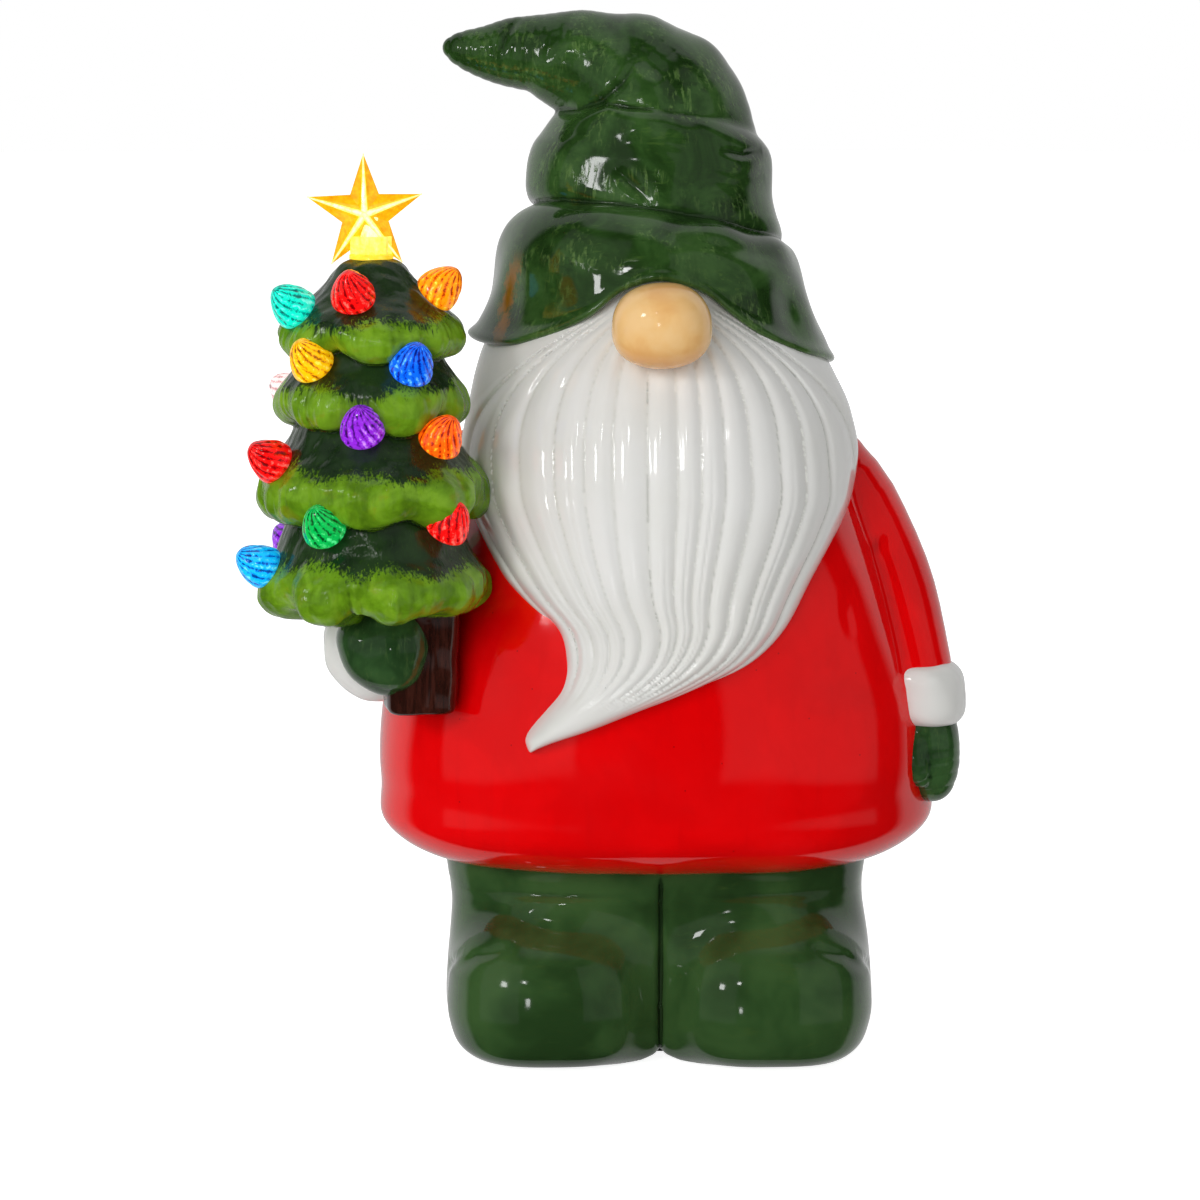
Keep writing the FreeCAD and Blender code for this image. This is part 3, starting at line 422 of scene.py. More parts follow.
def beard_lines(x, y, z):
    """Ridge height and valley mask of the beard's locks; the valley mask paints shade into the grooves."""
    zz = z + 0.0035 * x * x * sstep(150, 230, z)
    a, b = flow_l(zz), flow_r(zz)
    wide = np.maximum(b - a, 2.0)
    s = np.clip((x - a) / wide, -0.2, 1.2)
    # uneven spacing, and a slow sway along the length
    s2 = s + 0.011 * np.sin(9.2 * s + 0.4) + 0.0065 * np.sin(23 * s + 1.3 - 0.012 * z) + 0.006 * np.sin(0.033 * z + 7 * s)
    N = 15.0
    ph = s2 * N + 0.25
    lock = np.floor(ph)
    fr = ph - lock
    v = np.abs(fr * 2 - 1)                    # 1 in the valley, 0 on the ridge
    tight = wide / N
    # rounded locks, the valleys narrow but never sharper than about a millimetre
    soft = 0.30
    us = (np.sqrt((1 - v) ** 2 + soft * soft) - soft) / (math.sqrt(1 + soft * soft) - soft)
    ridge = 1 - np.clip(1 - us, 0, 1) ** 2.3
    key = (np.sin(lock * 12.9898 + 4.1) * 43758.5453) % 1.0
    key2 = (np.sin(lock * 78.233 + 1.7) * 12543.123) % 1.0
    # some locks divide further down, others carry a fine crease to one side
    off = 0.5 + 0.22 * (key2 - 0.5)
    near = np.abs(fr - off) * tight
    w2 = sstep(0.42, 0.6, key) * sstep(228 - 40 * key2, 190 - 40 * key2, z)
    crease = np.exp(-(near / 0.75) ** 2) * w2
    inside = sstep(-0.02, 0.03, s) * sstep(1.02, 0.97, s)
    amp = (0.75 + 0.5 * key2) * inside * sstep(2.0, 5.4, tight) * (0.72 + 0.28 * sstep(0.0, 0.4, s))
    h = amp * ridge - 0.34 * amp * crease
    # vmask: painted shade in the valleys and fine creases, stored as the 'valley' attribute
    vmask = np.maximum(v ** 5, 0.4 * crease) * inside * sstep(2.2, 5.4, tight)
    return h, vmask, amp


def beard_valley(x, y, z):
    return beard_lines(x, y, z)[1]


def f_beard(x, y, z):
    d = beard_s(x, y, z)
    h, v, amp = beard_lines(x, y, z)
    front = sstep(-2, -20, y - beard_s.yc(z))
    d = d - (h - 0.85 * amp) * front
    d = smax(d, y - 2.0, 3.0)
    d = d + 0.18 * waves(x, y, z, 40, 11)
    # above the brim the beard stays under the hat
    return np.maximum(d, np.minimum(hat_outer(x, y, z) + 1.6, z - brim_height(x, y) - 0.6))


# ---- hat ------------------------------------------------------------------------------------------
BRIM_X = [-80, -64, -61.9, -51.5, -38.4, -22.4, -11.3, -0.3, 12.4, 22.0, 31.8, 45.1, 56.7, 66, 80]
BRIM_Z = [237.5, 236.0, 235.4, 235.0, 238.4, 245.6, 253.9, 257.0, 253.8, 246.5, 239.6, 233.2, 229.0, 227, 226]
brim_c = Column(BRIM_X, BRIM_Z, 1.6)
TILT = 0.15


def brim_height(x, y):
    back = 231.0 - 0.075 * x - 1.2 * sstep(0, 50, y)
    t = sstep(-30, 4, y)
    return brim_c(x) * (1 - t) + back * t


def band(rows, depth, sigma, ex):
    out = []
    for zt, xl, xr in rows:
        a = (xr - xl) / 2
        out.append((zt, (xl + xr) / 2, a, -a * depth, a * depth, ex))
    return Stack(out, sigma=sigma, cap=1.0)


B0_ROWS = [(213, -65.5, 67.0), (220, -63.6, 64.2), (226.6, -61.8, 61.8), (231.8, -59.2, 59.8), (235.5, -57.6, 58.0), (240.3, -55.9, 55.9), (245.4, -54.7, 53.4),
           (250, -53.9, 51.6), (254.6, -53.2, 50.1), (259, -52.2, 48.7), (263.9, -50.2, 47.0), (267.5, -47.7, 45.4), (269.8, -45.4, 44.0), (272.5, -41.0, 40.5),
           (275, -34.0, 34.0), (277, -22.0, 22.0), (277.8, -8.0, 8.0)]
FRONT0 = [66.5, 65.5, 64.5, 63.2, 62.3, 61.3, 60.4, 59.6, 58.4, 56.8, 54.2, 51.2, 48.6, 44.0, 36.5, 24.0, 9.0]
B0 = Stack([(zt, (xl + xr) / 2, (xr - xl) / 2, -f, (xr - xl) / 2 * 1.0, 2.12) for (zt, xl, xr), f in zip(B0_ROWS, FRONT0)], sigma=0.8, cap=1.0)
B1 = band([(269.4, -16, 14), (270.2, -28, 27), (271.2, -37.0, 35.5), (272.6, -41.6, 39.4), (274.4, -43.5, 40.6), (277, -44.0, 40.3), (280.5, -43.8, 39.2), (286, -42.9, 37.8),
           (292.8, -40.6, 37.3), (296.4, -38.2, 37.1), (300, -36.0, 36.6), (302.8, -34.2, 35.4), (305.2, -32.4, 33.0), (308.5, -28, 28.6), (313, -20, 22), (317, -8, 12)], 0.97, 0.8, 2.1)
HORN = [(0.0, 2, 298.0, 32.2), (-1.5, 2, 305.5, 31.2), (-5.8, 1.6, 312.3, 27.8), (-9.5, 1.2, 316.6, 24.9), (-15, 0.6, 320.6, 21.2), (-22, -0.2, 323.8, 18.2),
        (-28.5, -1, 326.0, 16.0), (-33, -1.6, 327.2, 14.6), (-38.1, -2, 328.4, 12.8), (-46.1, -2.6, 328.3, 11.5), (-54, -3.2, 328.6, 9.4), (-62.2, -3.8, 329.4, 6.7), (-66.9, -4, 330.1, 3.6)]
HORN_P = [tuple(p) for p in spline_pts(HORN, 26)]


def hat_outer(x, y, z):
    zt = z + TILT * x + 0.12 * y
    b0 = B0(x, y, zt)
    b1 = B1(x, y - 1.0, zt)
    ang = np.arctan2(x + 4, -y)
    # the middle roll sags a little at the front right and is pinched at the front left
    b1 = b1 - 0.9 * np.exp(-((ang - 0.85) / 0.5) ** 2) * np.exp(-((zt - 277) / 6) ** 2)
    b1 = b1 + 1.1 * np.exp(-((ang + 0.25) / 0.28) ** 2) * np.exp(-((zt - 281) / 8) ** 2)
    d = smin(b0, b1, 1.0)
    horn = chain(HORN_P, x, y - 1.0, z, ky=0.98)
    d = smin(d, horn, 1.3)
    front = sstep(4, -8, y)
    # pinches, creases and drag lines of a felt hat that has flopped over
    d = d + carve(x, z, [(-33, 309.5), (-26, 310.0), (-19, 313), (-12, 319), (-8, 325)], 1.5, 1.9) * front
    d = d + carve(x, z, [(-19, 313.0), (-10, 311.2), (-1, 310.8)], 0.9, 1.1) * front
    d = d + carve(x, z, [(-45, 340), (-49, 335), (-52, 328)], 1.3, 1.1) * front
    d = d + carve(x, z, [(-27, 343), (-31, 335), (-38, 326)], 2.6, 1.2) * front
    d = d + carve(x, z, [(-14, 336), (-8, 329), (2, 321), (9, 309)], 3.4, 1.3) * front
    d = d + carve(x, z, [(34, 297.0), (27, 296.0), (19, 298)], 1.6, 1.5) * sstep(14, -4, y)
    d = d + carve(x, z, [(-24, 303), (-12, 299), (2, 301), (16, 296)], 3.4, 1.0) * front
    d = d + carve(x, z, [(-14, 292), (-8, 286), (-3, 281)], 2.2, 1.3) * front
    d = d + carve(x, z, [(12, 291), (24, 287), (35, 289)], 2.6, 0.9) * front
    d = d + carve(x, z, [(4, 271), (18, 268), (33, 264), (44, 262)], 2.6, 0.8) * front
    d = d + carve(x, z, [(-46, 262), (-47, 252), (-48.5, 243)], 3.0, 0.9) * front
    d = d + carve(x, z, [(39, 255), (41, 246), (44, 237)], 3.4, 0.9) * front
    back = sstep(-4, 8, y)
    d = d + carve(x, z, [(30, 300), (12, 296), (-8, 300), (-24, 307)], 2.2, 1.3) * back
    d = d + carve(x, z, [(-20, 318), (-4, 313), (12, 316)], 1.8, 1.2) * back
    d = d + carve(x, z, [(38, 262), (16, 257), (-8, 260), (-30, 266)], 3.0, 1.0) * back
    d = d - 0.42 * waves(x, y, z, 26, 21)
    # rolled lip, a rim about the wall's thickness, and a shallow hollow under it
    k = z - brim_height(x, y)
    return d - 1.1 * np.exp(-((k - 2.1) / 2.0) ** 2)


def f_hat(x, y, z):
    d = hat_outer(x, y, z)
    k = z - brim_height(x, y)
    rim = d + 3.6
    d = smax(d, -k * 0.93, 2.2)
    return smax(d, -np.maximum(rim, k - 4.5), 0.9)


def f_nose(x, y, z):
    X, Y, Z = (x - 0.3) / 15.7, (y + 74.0) / 15.2, (z - 244.4) / 13.5
    X = X * (1 + 0.05 * np.clip(Z, -1, 1))
    Y = Y + 0.05 * Z
    rho = (np.abs(X) ** 2.35 + np.abs(Y) ** 2.15 + np.abs(Z) ** 2.35 + 1e-9) ** (1 / 2.3)
    d = (rho - 1) * 14.2
    return d + 0.14 * waves(x, y, z, 20, 31)


# ---- hands and cuffs ----------------------------------------------------------------------------
def f_left_cuff(x, y, z):
    cx = 86.0 + 0.09 * (125 - z)
    r = np.sqrt(((x - cx) / 14.6) ** 2 + ((y + 24.2) / 17.8) ** 2 + 1e-9)
    d = (r - 1) * 15.6
    d = smax(d, np.abs(z - 120.4) - 10.4, 7.0)
    return d + 0.22 * waves(x, y, z, 13, 41)


L_HAND = [(87.6, -25.2, 112, 10.2), (88.2, -25.5, 105, 10.9), (88.8, -26, 98, 10.3), (89.8, -26.4, 92.0, 8.0), (90.6, -26.8, 89.2, 4.8)]
L_HAND_P = [tuple(p) for p in spline_pts(L_HAND, 9)]
L_THUMB = [(85.0, -33.0, 108, 5.0), (83.6, -36.0, 102, 4.8), (84.4, -37.2, 96.5, 4.2), (85.8, -36.6, 93.4, 3.0)]
L_THUMB_P = [tuple(p) for p in spline_pts(L_THUMB, 7)]


def f_left_mitten(x, y, z):
    d = chain(L_HAND_P, x, y, z, ky=0.8)
    d = smin(d, chain(L_THUMB_P, x, y, z), 0.9)
    d = smax(d, z - 113.0, 1.5)
    return d + 0.15 * waves(x, y, z, 14, 43)


def f_right_cuff(x, y, z):
    r = np.sqrt(((x + 90.2) / 18.7) ** 2 + ((z - 138.6) / 18.1) ** 2 + 1e-9)
    d = (r - 1) * 18.4
    d = smax(d, np.abs(y + 42.6) - 9.4, 7.0)
    return d + 0.25 * waves(x, y, z, 13, 44)


def f_right_mitten(x, y, z):
    # a closed fist round the trunk: a soft block that narrows towards the lower right
    c, s = math.cos(math.radians(9)), math.sin(math.radians(9))
    u = (x + 89.0) * c + (z - 141.0) * s
    w = -(x + 89.0) * s + (z - 141.0) * c
    wide = 13.6 + 0.12 * w - 0.006 * w * w
    X, Y, Z = u / wide, (y + 64.0) / 14.6, w / 13.6
    rho = (np.abs(X) ** 2.6 + np.abs(Y) ** 2.2 + np.abs(Z) ** 2.5 + 1e-9) ** (1 / 2.45)
    d = (rho - 1) * 12.8
    # the side of the fist that closes round the trunk, with one soft fold between
    fingers = chain([(-83.5, -67, 147.0, 7.0), (-82.0, -69, 141.5, 7.4), (-83.0, -68.5, 136.0, 6.6), (-85.5, -66, 132.5, 5.2)], x, y, z)
    d = smin(d, fingers, 7.0)
    return d + 0.14 * waves(x, y, z, 20, 46)


def f_trunk(x, y, z):
    t = np.clip((z - 119) / 32, 0, 1)
    a, b = 11.2 + 1.0 * t, 10.4 + 1.3 * t
    cx, cy = -76.9 + 0.4 * t, -60.2
    ang = math.radians(8)
    X = (x - cx) * math.cos(ang) + (y - cy) * math.sin(ang)
    Y = -(x - cx) * math.sin(ang) + (y - cy) * math.cos(ang)
    rho = (np.abs(X / a) ** 3.6 + np.abs(Y / b) ** 3.6 + 1e-9) ** (1 / 3.6)
    d = (rho - 1) * 10.4
    # one soft crease down the front where the trunk is worked to an edge
    d = d + carve(x, z, [(-73.4, 150), (-73.0, 138), (-73.6, 122)], 0.9, 0.5) * (y < -62)
    d = smax(d, 119.7 - z, 2.6)
    d = smax(d, z - 153.5, 1.0)
    return d + 0.15 * waves(x, y, z, 12, 51)


# ---- tree -----------------------------------------------------------------------------------------
TX, TY = -91.3, -63.0
TIERS = [  # profile (z, r), lobes, phase, widest z
    ([(149.4, 14), (149.8, 25), (151.0, 31.0), (153.6, 34.6), (157.5, 36.6), (162, 36.4), (167, 33.8), (172, 30.8), (178, 28.6), (184, 26.4), (192, 23.0), (196, 18)], 8, 0.30, 160.0),
    ([(180.4, 16), (180.9, 27), (182.2, 32.0), (184.8, 34.8), (188.8, 36.3), (193, 36.0), (198.3, 33.0), (203.5, 29.2), (208.5, 26.2), (214, 23.8), (222, 20), (226, 15)], 7, -1.60, 192.0),
    ([(211.0, 13), (211.5, 23), (212.6, 27.0), (214.6, 29.0), (218.4, 30.3), (222.5, 29.6), (227, 26.8), (231, 23.6), (236, 21.0), (242, 18), (248, 13)], 6, 0.95, 220.0),
    ([(232.6, 10), (233.1, 21), (234.3, 25.6), (236.4, 28.6), (239.8, 30.0), (243.6, 28.8), (247.8, 24.8), (251.6, 19.9), (255.6, 15.9), (260.0, 12.2), (262.8, 10.0), (264.3, 7.6), (265.0, 3.0)], 6, -1.45, 240.5),
]
EDGE = [171.0, 201.5, 227.0, 247.3]
LIFT = [2.4, 1.2, 0.6, 0.6]
TIER_S = []
for prof, lobes, phase, zw in TIERS:
    TIER_S.append((Stack([(z, 0, r, -r, r, 2.0) for z, r in prof], sigma=0.7, cap=0.8), lobes, phase, zw))
_rs = np.random.RandomState(77)
_rip = [(int(k), _rs.uniform(0, 6.28), _rs.uniform(0.5, 1.0)) for k in _rs.randint(34, 72, 9)]


def tree_parts(x, y, z):
    X, Y = x - TX, y - TY
    th = np.arctan2(Y, X)
    r = np.sqrt(X * X + Y * Y)
    rip = 0
    for k, p, a in _rip:
        rip = rip + a * np.sin(k * th + p + 0.08 * z)
    rip = rip / 2.2
    best, tip = None, None
    for i, (st, N, ph, zw) in enumerate(TIER_S):
        c = np.cos(N * (th - ph) / 2) ** 2
        L = 1 - 2 * (1 - c) ** 1.5
        vary = 0.75 + 0.35 * np.sin(2 * th + i * 1.9) + 0.15 * np.sin(3 * th - i)
        low = sstep(zw + 12, zw - 1, z)
        sc = 1 + (0.045 * L * vary - 0.008) * (0.25 + 0.75 * low)
        zz = z + (2.2 * L * vary) * low - (0.4 + LIFT[i] * low)
        d = st(X / sc, Y / sc, zz)
        # carved branches: fine ripples over the lower half of each skirt
        m = sstep(zw + 9, zw + 1, z) * sstep(zw - 9, zw - 3, z) * (0.35 + 0.65 * (0.5 + 0.5 * np.sin(3 * th + 1.1 * i)))
        d = d - 0.13 * rip * m * sstep(8, 20, r)
        # a few broad boughs pressed into the lower part of each skirt
        bough = np.cos(2.5 * N * (th - ph) + 1.3 * np.sin(3 * th + i))
        d = d - 0.42 * bough * sstep(zw + 12, zw + 2, z) * sstep(zw - 9, zw - 4, z)
        t = (EDGE[i] + 1.4 * L + 1.2 * np.sin(2 * th + i) - z) / 4.2
        if best is None:
            best, tip = d, t
        else:
            tip = np.where(d < best, t, tip)
            best = smin(best, d, 1.0)
    return best, tip, rip


def f_tree(x, y, z):
    d, tip, rip = tree_parts(x, y, z)
    X, Y = x - TX, y - TY
    d = d + 0.22 * waves(x, y, z, 11, 61) + 0.10 * waves(x, y, z, 5.0, 62)
    return d


def tree_tip(x, y, z):
    return np.clip(tree_parts(x, y, z)[1], -3, 6)


# =====================================================================================================
# materials
# =====================================================================================================
class Mat:
    def __init__(self, name):
        self.m = bpy.data.materials.new(name)
        self.m.use_nodes = True
        self.t = self.m.node_tree
        self.t.nodes.clear()
        self.out = self.t.nodes.new("ShaderNodeOutputMaterial")
        self.b = self.t.nodes.new("ShaderNodeBsdfPrincipled")
        self.t.links.new(self.b.outputs[0], self.out.inputs[0])

    def put(self, socket, value):
        if isinstance(value, bpy.types.NodeSocket):
            self.t.links.new(value, socket)
        elif value is not None:
            if isinstance(value, (tuple, list)) and len(value) == 3 and socket.type == "RGBA":
                value = (*value, 1.0)
            socket.default_value = value

    def set(self, **kw):
        for k, v in kw.items():
            self.put(self.b.inputs[k.replace("_", " ")], v)
        return self

    def mm(self, scale=(1, 1, 1), rot=(0, 0, 0)):
        """Object coordinates in millimetres, scaled and turned."""
        tc = self.t.nodes.new("ShaderNodeTexCoord")
        mp = self.t.nodes.new("ShaderNodeMapping")
        mp.vector_type = "POINT"
        mp.inputs["Rotation"].default_value = rot
        mp.inputs["Scale"].default_value = tuple(1000.0 * s for s in scale)
        self.t.links.new(tc.outputs["Object"], mp.inputs["Vector"])
        return mp.outputs[0]

    def noise(self, vec, size, detail=3.0, rough=0.5, dist=0.0, out="Fac"):
        n = self.t.nodes.new("ShaderNodeTexNoise")
        n.inputs["Scale"].default_value = 1.0 / size
        n.inputs["Detail"].default_value = detail
        n.inputs["Roughness"].default_value = rough
        n.inputs["Distortion"].default_value = dist
        self.t.links.new(vec, n.inputs["Vector"])
        return n.outputs[out if out != "Fac" else 0]

    def voronoi(self, vec, size, feature="F1", rand=1.0):
        n = self.t.nodes.new("ShaderNodeTexVoronoi")
        n.feature = feature
        n.inputs["Scale"].default_value = 1.0 / size
        n.inputs["Randomness"].default_value = rand
        self.t.links.new(vec, n.inputs["Vector"])
        return n.outputs["Distance"]

    def attr(self, name):
        n = self.t.nodes.new("ShaderNodeAttribute")
        n.attribute_type = "GEOMETRY"
        n.attribute_name = name
        return n.outputs["Fac"]

    def ramp(self, fac, stops, interp="LINEAR"):
        n = self.t.nodes.new("ShaderNodeValToRGB")
        n.color_ramp.interpolation = interp
        el = n.color_ramp.elements
        while len(el) > 1:
            el.remove(el[-1])
        for i, (p, c) in enumerate(stops):
            e = el[0] if i == 0 else el.new(p)
            e.position = p
            e.color = (c, c, c, 1) if isinstance(c, (int, float)) else (*c, 1)
        self.put(n.inputs[0], fac)
        return n.outputs[0]

    def span(self, v, a, b, lo=0.0, hi=1.0):
        n = self.t.nodes.new("ShaderNodeMapRange")
        n.interpolation_type = "SMOOTHSTEP"
        self.put(n.inputs["Value"], v)
        n.inputs["From Min"].default_value = a
        n.inputs["From Max"].default_value = b
        n.inputs["To Min"].default_value = lo
        n.inputs["To Max"].default_value = hi
        return n.outputs[0]

    def mix(self, fac, a, b, mode="MIX"):
        n = self.t.nodes.new("ShaderNodeMix")
        n.data_type = "RGBA"
        n.blend_type = mode
        n.clamp_result = True
        self.put(n.inputs[0], fac)
        self.put(n.inputs[6], a)
        self.put(n.inputs[7], b)
        return n.outputs[2]

    def math(self, op, a, b=None, c=None, clamp=False):
        n = self.t.nodes.new("ShaderNodeMath")
        n.operation = op
        n.use_clamp = clamp
        for i, v in enumerate((a, b, c)):
            if v is not None:
                self.put(n.inputs[i], v)
        return n.outputs[0]

    def sep(self, vec):
        n = self.t.nodes.new("ShaderNodeSeparateXYZ")
        self.t.links.new(vec, n.inputs[0])
        return n.outputs

    def bump(self, height, strength, dist_mm, normal=None):
        n = self.t.nodes.new("ShaderNodeBump")
        n.inputs["Strength"].default_value = strength
        n.inputs["Distance"].default_value = dist_mm / 1000.0
        self.put(n.inputs["Height"], height)
        if normal is not None:
            self.put(n.inputs["Normal"], normal)
        self.t.links.new(n.outputs[0], self.b.inputs["Normal"])
        return n.outputs[0]


def srgb(r, g, b):
    def f(c):
        c = c / 255.0
        return c / 12.92 if c <= 0.04045 else ((c + 0.055) / 1.055) ** 2.4
    return (f(r), f(g), f(b))


def glaze_finish(M, rough=0.07, coat=0.35, bump_extra=None, peel=0.03):
    """Fired glaze: near-mirror skin with faint orange peel, and a few slightly duller patches."""
    v = M.mm()
    patch = M.noise(v, 24, 3, 0.55)
    fine = M.noise(v, 3.2, 2, 0.5)
    M.set(Roughness=M.span(patch, 0.35, 0.75, rough * 0.7, rough * 1.9))
    M.b.inputs["IOR"].default_value = 1.5
    M.b.inputs["Coat Weight"].default_value = 0.0
    M.b.inputs["Specular IOR Level"].default_value = coat
    h = M.math("ADD", M.math("MULTIPLY", M.noise(v, 9, 3, 0.5), 1.0), M.math("MULTIPLY", fine, 0.25))
    if bump_extra is not None:
        h = M.math("ADD", h, bump_extra)
    M.bump(h, 1.0, peel)


def green_glaze(name, stain=False):
    M = Mat(name)
    v = M.mm()
    dark, mid, light, pale = srgb(27, 52, 17), srgb(43, 74, 30), srgb(60, 94, 44), srgb(98, 130, 68)
    big = M.noise(v, 22, 4, 0.6, 0.6)
    col = M.ramp(M.span(big, 0.32, 0.68), [(0.0, dark), (0.45, mid), (1.0, light)])
    # overlapping brush marks in two directions
    s1 = M.noise(M.mm((0.9, 0.9, 0.16), (0.0, 0.5, 0.1)), 1.35, 4, 0.62, 0.4)
    s2 = M.noise(M.mm((0.2, 0.9, 0.95), (0.2, -0.7, 0.3)), 1.5, 4, 0.62, 0.4)
    m1 = M.span(M.noise(v, 15, 3, 0.55), 0.46, 0.66)
    m2 = M.span(M.noise(M.mm((1, 1, 1), (1.1, 0.4, 0.7)), 13, 3, 0.55), 0.48, 0.66)
    k1 = M.math("MULTIPLY", M.span(s1, 0.50, 0.66), M.math("MULTIPLY", m1, 0.62))
    k2 = M.math("MULTIPLY", M.span(s2, 0.52, 0.68), M.math("MULTIPLY", m2, 0.50))
    col = M.mix(k1, col, pale)
    col = M.mix(k2, col, srgb(76, 108, 46))
    # dark streaks where the glaze lies thick
    k3 = M.math("MULTIPLY", M.span(s2, 0.47, 0.34), M.math("MULTIPLY", m1, 0.55))
    col = M.mix(k3, col, srgb(18, 38, 12))
    cav = M.attr("cav")
    # painted shade: darker green in the creases
    col = M.mix(M.span(cav, 0.010, 0.10, 0.0, 0.75), col, srgb(24, 44, 18))
    # painted highlight: lighter green on the raised edges
    col = M.mix(M.span(cav, -0.05, -0.24, 0.0, 0.45), col, srgb(104, 136, 72))
    if stain:
        x, y, z = M.sep(M.mm())
        # glaze that has run thin over the left side of the brim shows the clay's warm colour
        line = M.math("ABSOLUTE", M.math("ADD", M.math("MULTIPLY_ADD", z, -0.22, 88.0), x))
        line = M.math("ADD", line, M.math("MULTIPLY", M.math("SUBTRACT", M.noise(v, 4, 4, 0.7), 0.5), 7.0))
        k = M.math("MULTIPLY", M.span(line, 2.6, 0.6), M.span(M.math("ABSOLUTE", M.math("SUBTRACT", z, 250.0)), 17, 7))
        k = M.math("MULTIPLY", k, M.span(y, 14.0, -6.0))
        col = M.mix(M.math("MULTIPLY", k, 0.85), col, srgb(150, 98, 14))
    M.set(Base_Color=col)
    glaze_finish(M, 0.075, 0.5, M.math("MULTIPLY", M.math("ADD", k1, k2), 0.8), 0.05)
    return M.m


def boot_glaze(name):
    M = Mat(name)
    v = M.mm()
    big = M.noise(v, 30, 3, 0.55, 0.3)
    col = M.ramp(M.span(big, 0.35, 0.68), [(0.0, srgb(38, 65, 30)), (0.5, srgb(51, 82, 41)), (1.0, srgb(62, 94, 49))])
    s1 = M.noise(M.mm((0.25, 0.9, 0.95)), 2.2, 4, 0.6, 0.3)
    k = M.math("MULTIPLY", M.span(s1, 0.5, 0.72), M.math("MULTIPLY", M.span(M.noise(v, 18, 2, 0.5), 0.45, 0.7), 0.32))
    col = M.mix(k, col, srgb(70, 96, 42))
    cav = M.attr("cav")
    # painted shade: darker green in the creases
    col = M.mix(M.span(cav, 0.010, 0.10, 0.0, 0.75), col, srgb(22, 36, 18))
    # painted highlight: lighter green on the raised edges
    col = M.mix(M.span(cav, -0.05, -0.2, 0.0, 0.35), col, srgb(96, 122, 72))
    M.set(Base_Color=col)
    glaze_finish(M, 0.06, 0.45, M.math("MULTIPLY", k, 0.5), 0.035)
    return M.m


def red_glaze(name):
    M = Mat(name)
    v = M.mm()
    big = M.noise(v, 34, 4, 0.55, 0.4)
    col = M.ramp(M.span(big, 0.32, 0.7), [(0.0, srgb(234, 0, 4)), (0.5, srgb(243, 1, 5)), (1.0, srgb(248, 3, 8))])
    # slight vertical flow of the glaze, and painted shade: darker red in the creases
    run = M.noise(M.mm((0.5, 0.5, 0.06)), 3.0, 4, 0.6)
    col = M.mix(M.span(run, 0.5, 0.8, 0.0, 0.12), col, srgb(190, 0, 5))
    cav = M.attr("cav")
    col = M.mix(M.span(cav, 0.008, 0.09, 0.0, 0.8), col, srgb(120, 0, 4))
    pin = M.voronoi(v, 7.5)
    col = M.mix(M.span(pin, 0.05, 0.02, 0.0, 0.55), col, srgb(120, 0, 4))
    M.set(Base_Color=col)
    glaze_finish(M, 0.055, 0.5, M.math("MULTIPLY", M.span(pin, 0.02, 0.08), 0.25), 0.03)
    return M.m


def white_glaze(name, grooved=False):
    M = Mat(name)
    v = M.mm()
    big = M.noise(v, 40, 3, 0.5)
    col = M.ramp(M.span(big, 0.3, 0.7), [(0.0, srgb(234, 234, 229)), (1.0, srgb(239, 239, 236))])
    if grooved:
        # painted shade: grey in the grooves between the beard's locks
        col = M.mix(M.span(M.attr("valley"), 0.1, 1.0, 0.0, 0.30), col, srgb(200, 200, 188))
    else:
        # painted shade: greyer in the creases
        col = M.mix(M.span(M.attr("cav"), 0.01, 0.12, 0.0, 0.6), col, srgb(190, 188, 174))
    M.set(Base_Color=col)
    glaze_finish(M, 0.06, 0.5, None, 0.03)
    return M.m


def nose_glaze(name):
    M = Mat(name)
    v = M.mm()
    x, y, z = M.sep(v)
    big = M.noise(v, 12, 3, 0.5, 0.3)
    col = M.ramp(M.span(big, 0.3, 0.7), [(0.0, srgb(244, 188, 118)), (0.5, srgb(250, 202, 134)), (1.0, srgb(252, 209, 146))])
    # painted shade: darker and warmer towards the underside
    col = M.mix(M.span(z, 240, 231, 0.0, 0.55), col, srgb(226, 150, 74))
    st = M.noise(M.mm((0.8, 0.8, 0.25)), 2.0, 4, 0.6)
    col = M.mix(M.span(st, 0.55, 0.75, 0.0, 0.2), col, srgb(250, 206, 150))
    M.set(Base_Color=col)
    M.b.inputs["Subsurface Weight"].default_value = 0.0
    glaze_finish(M, 0.06, 0.5, None, 0.03)
    return M.m


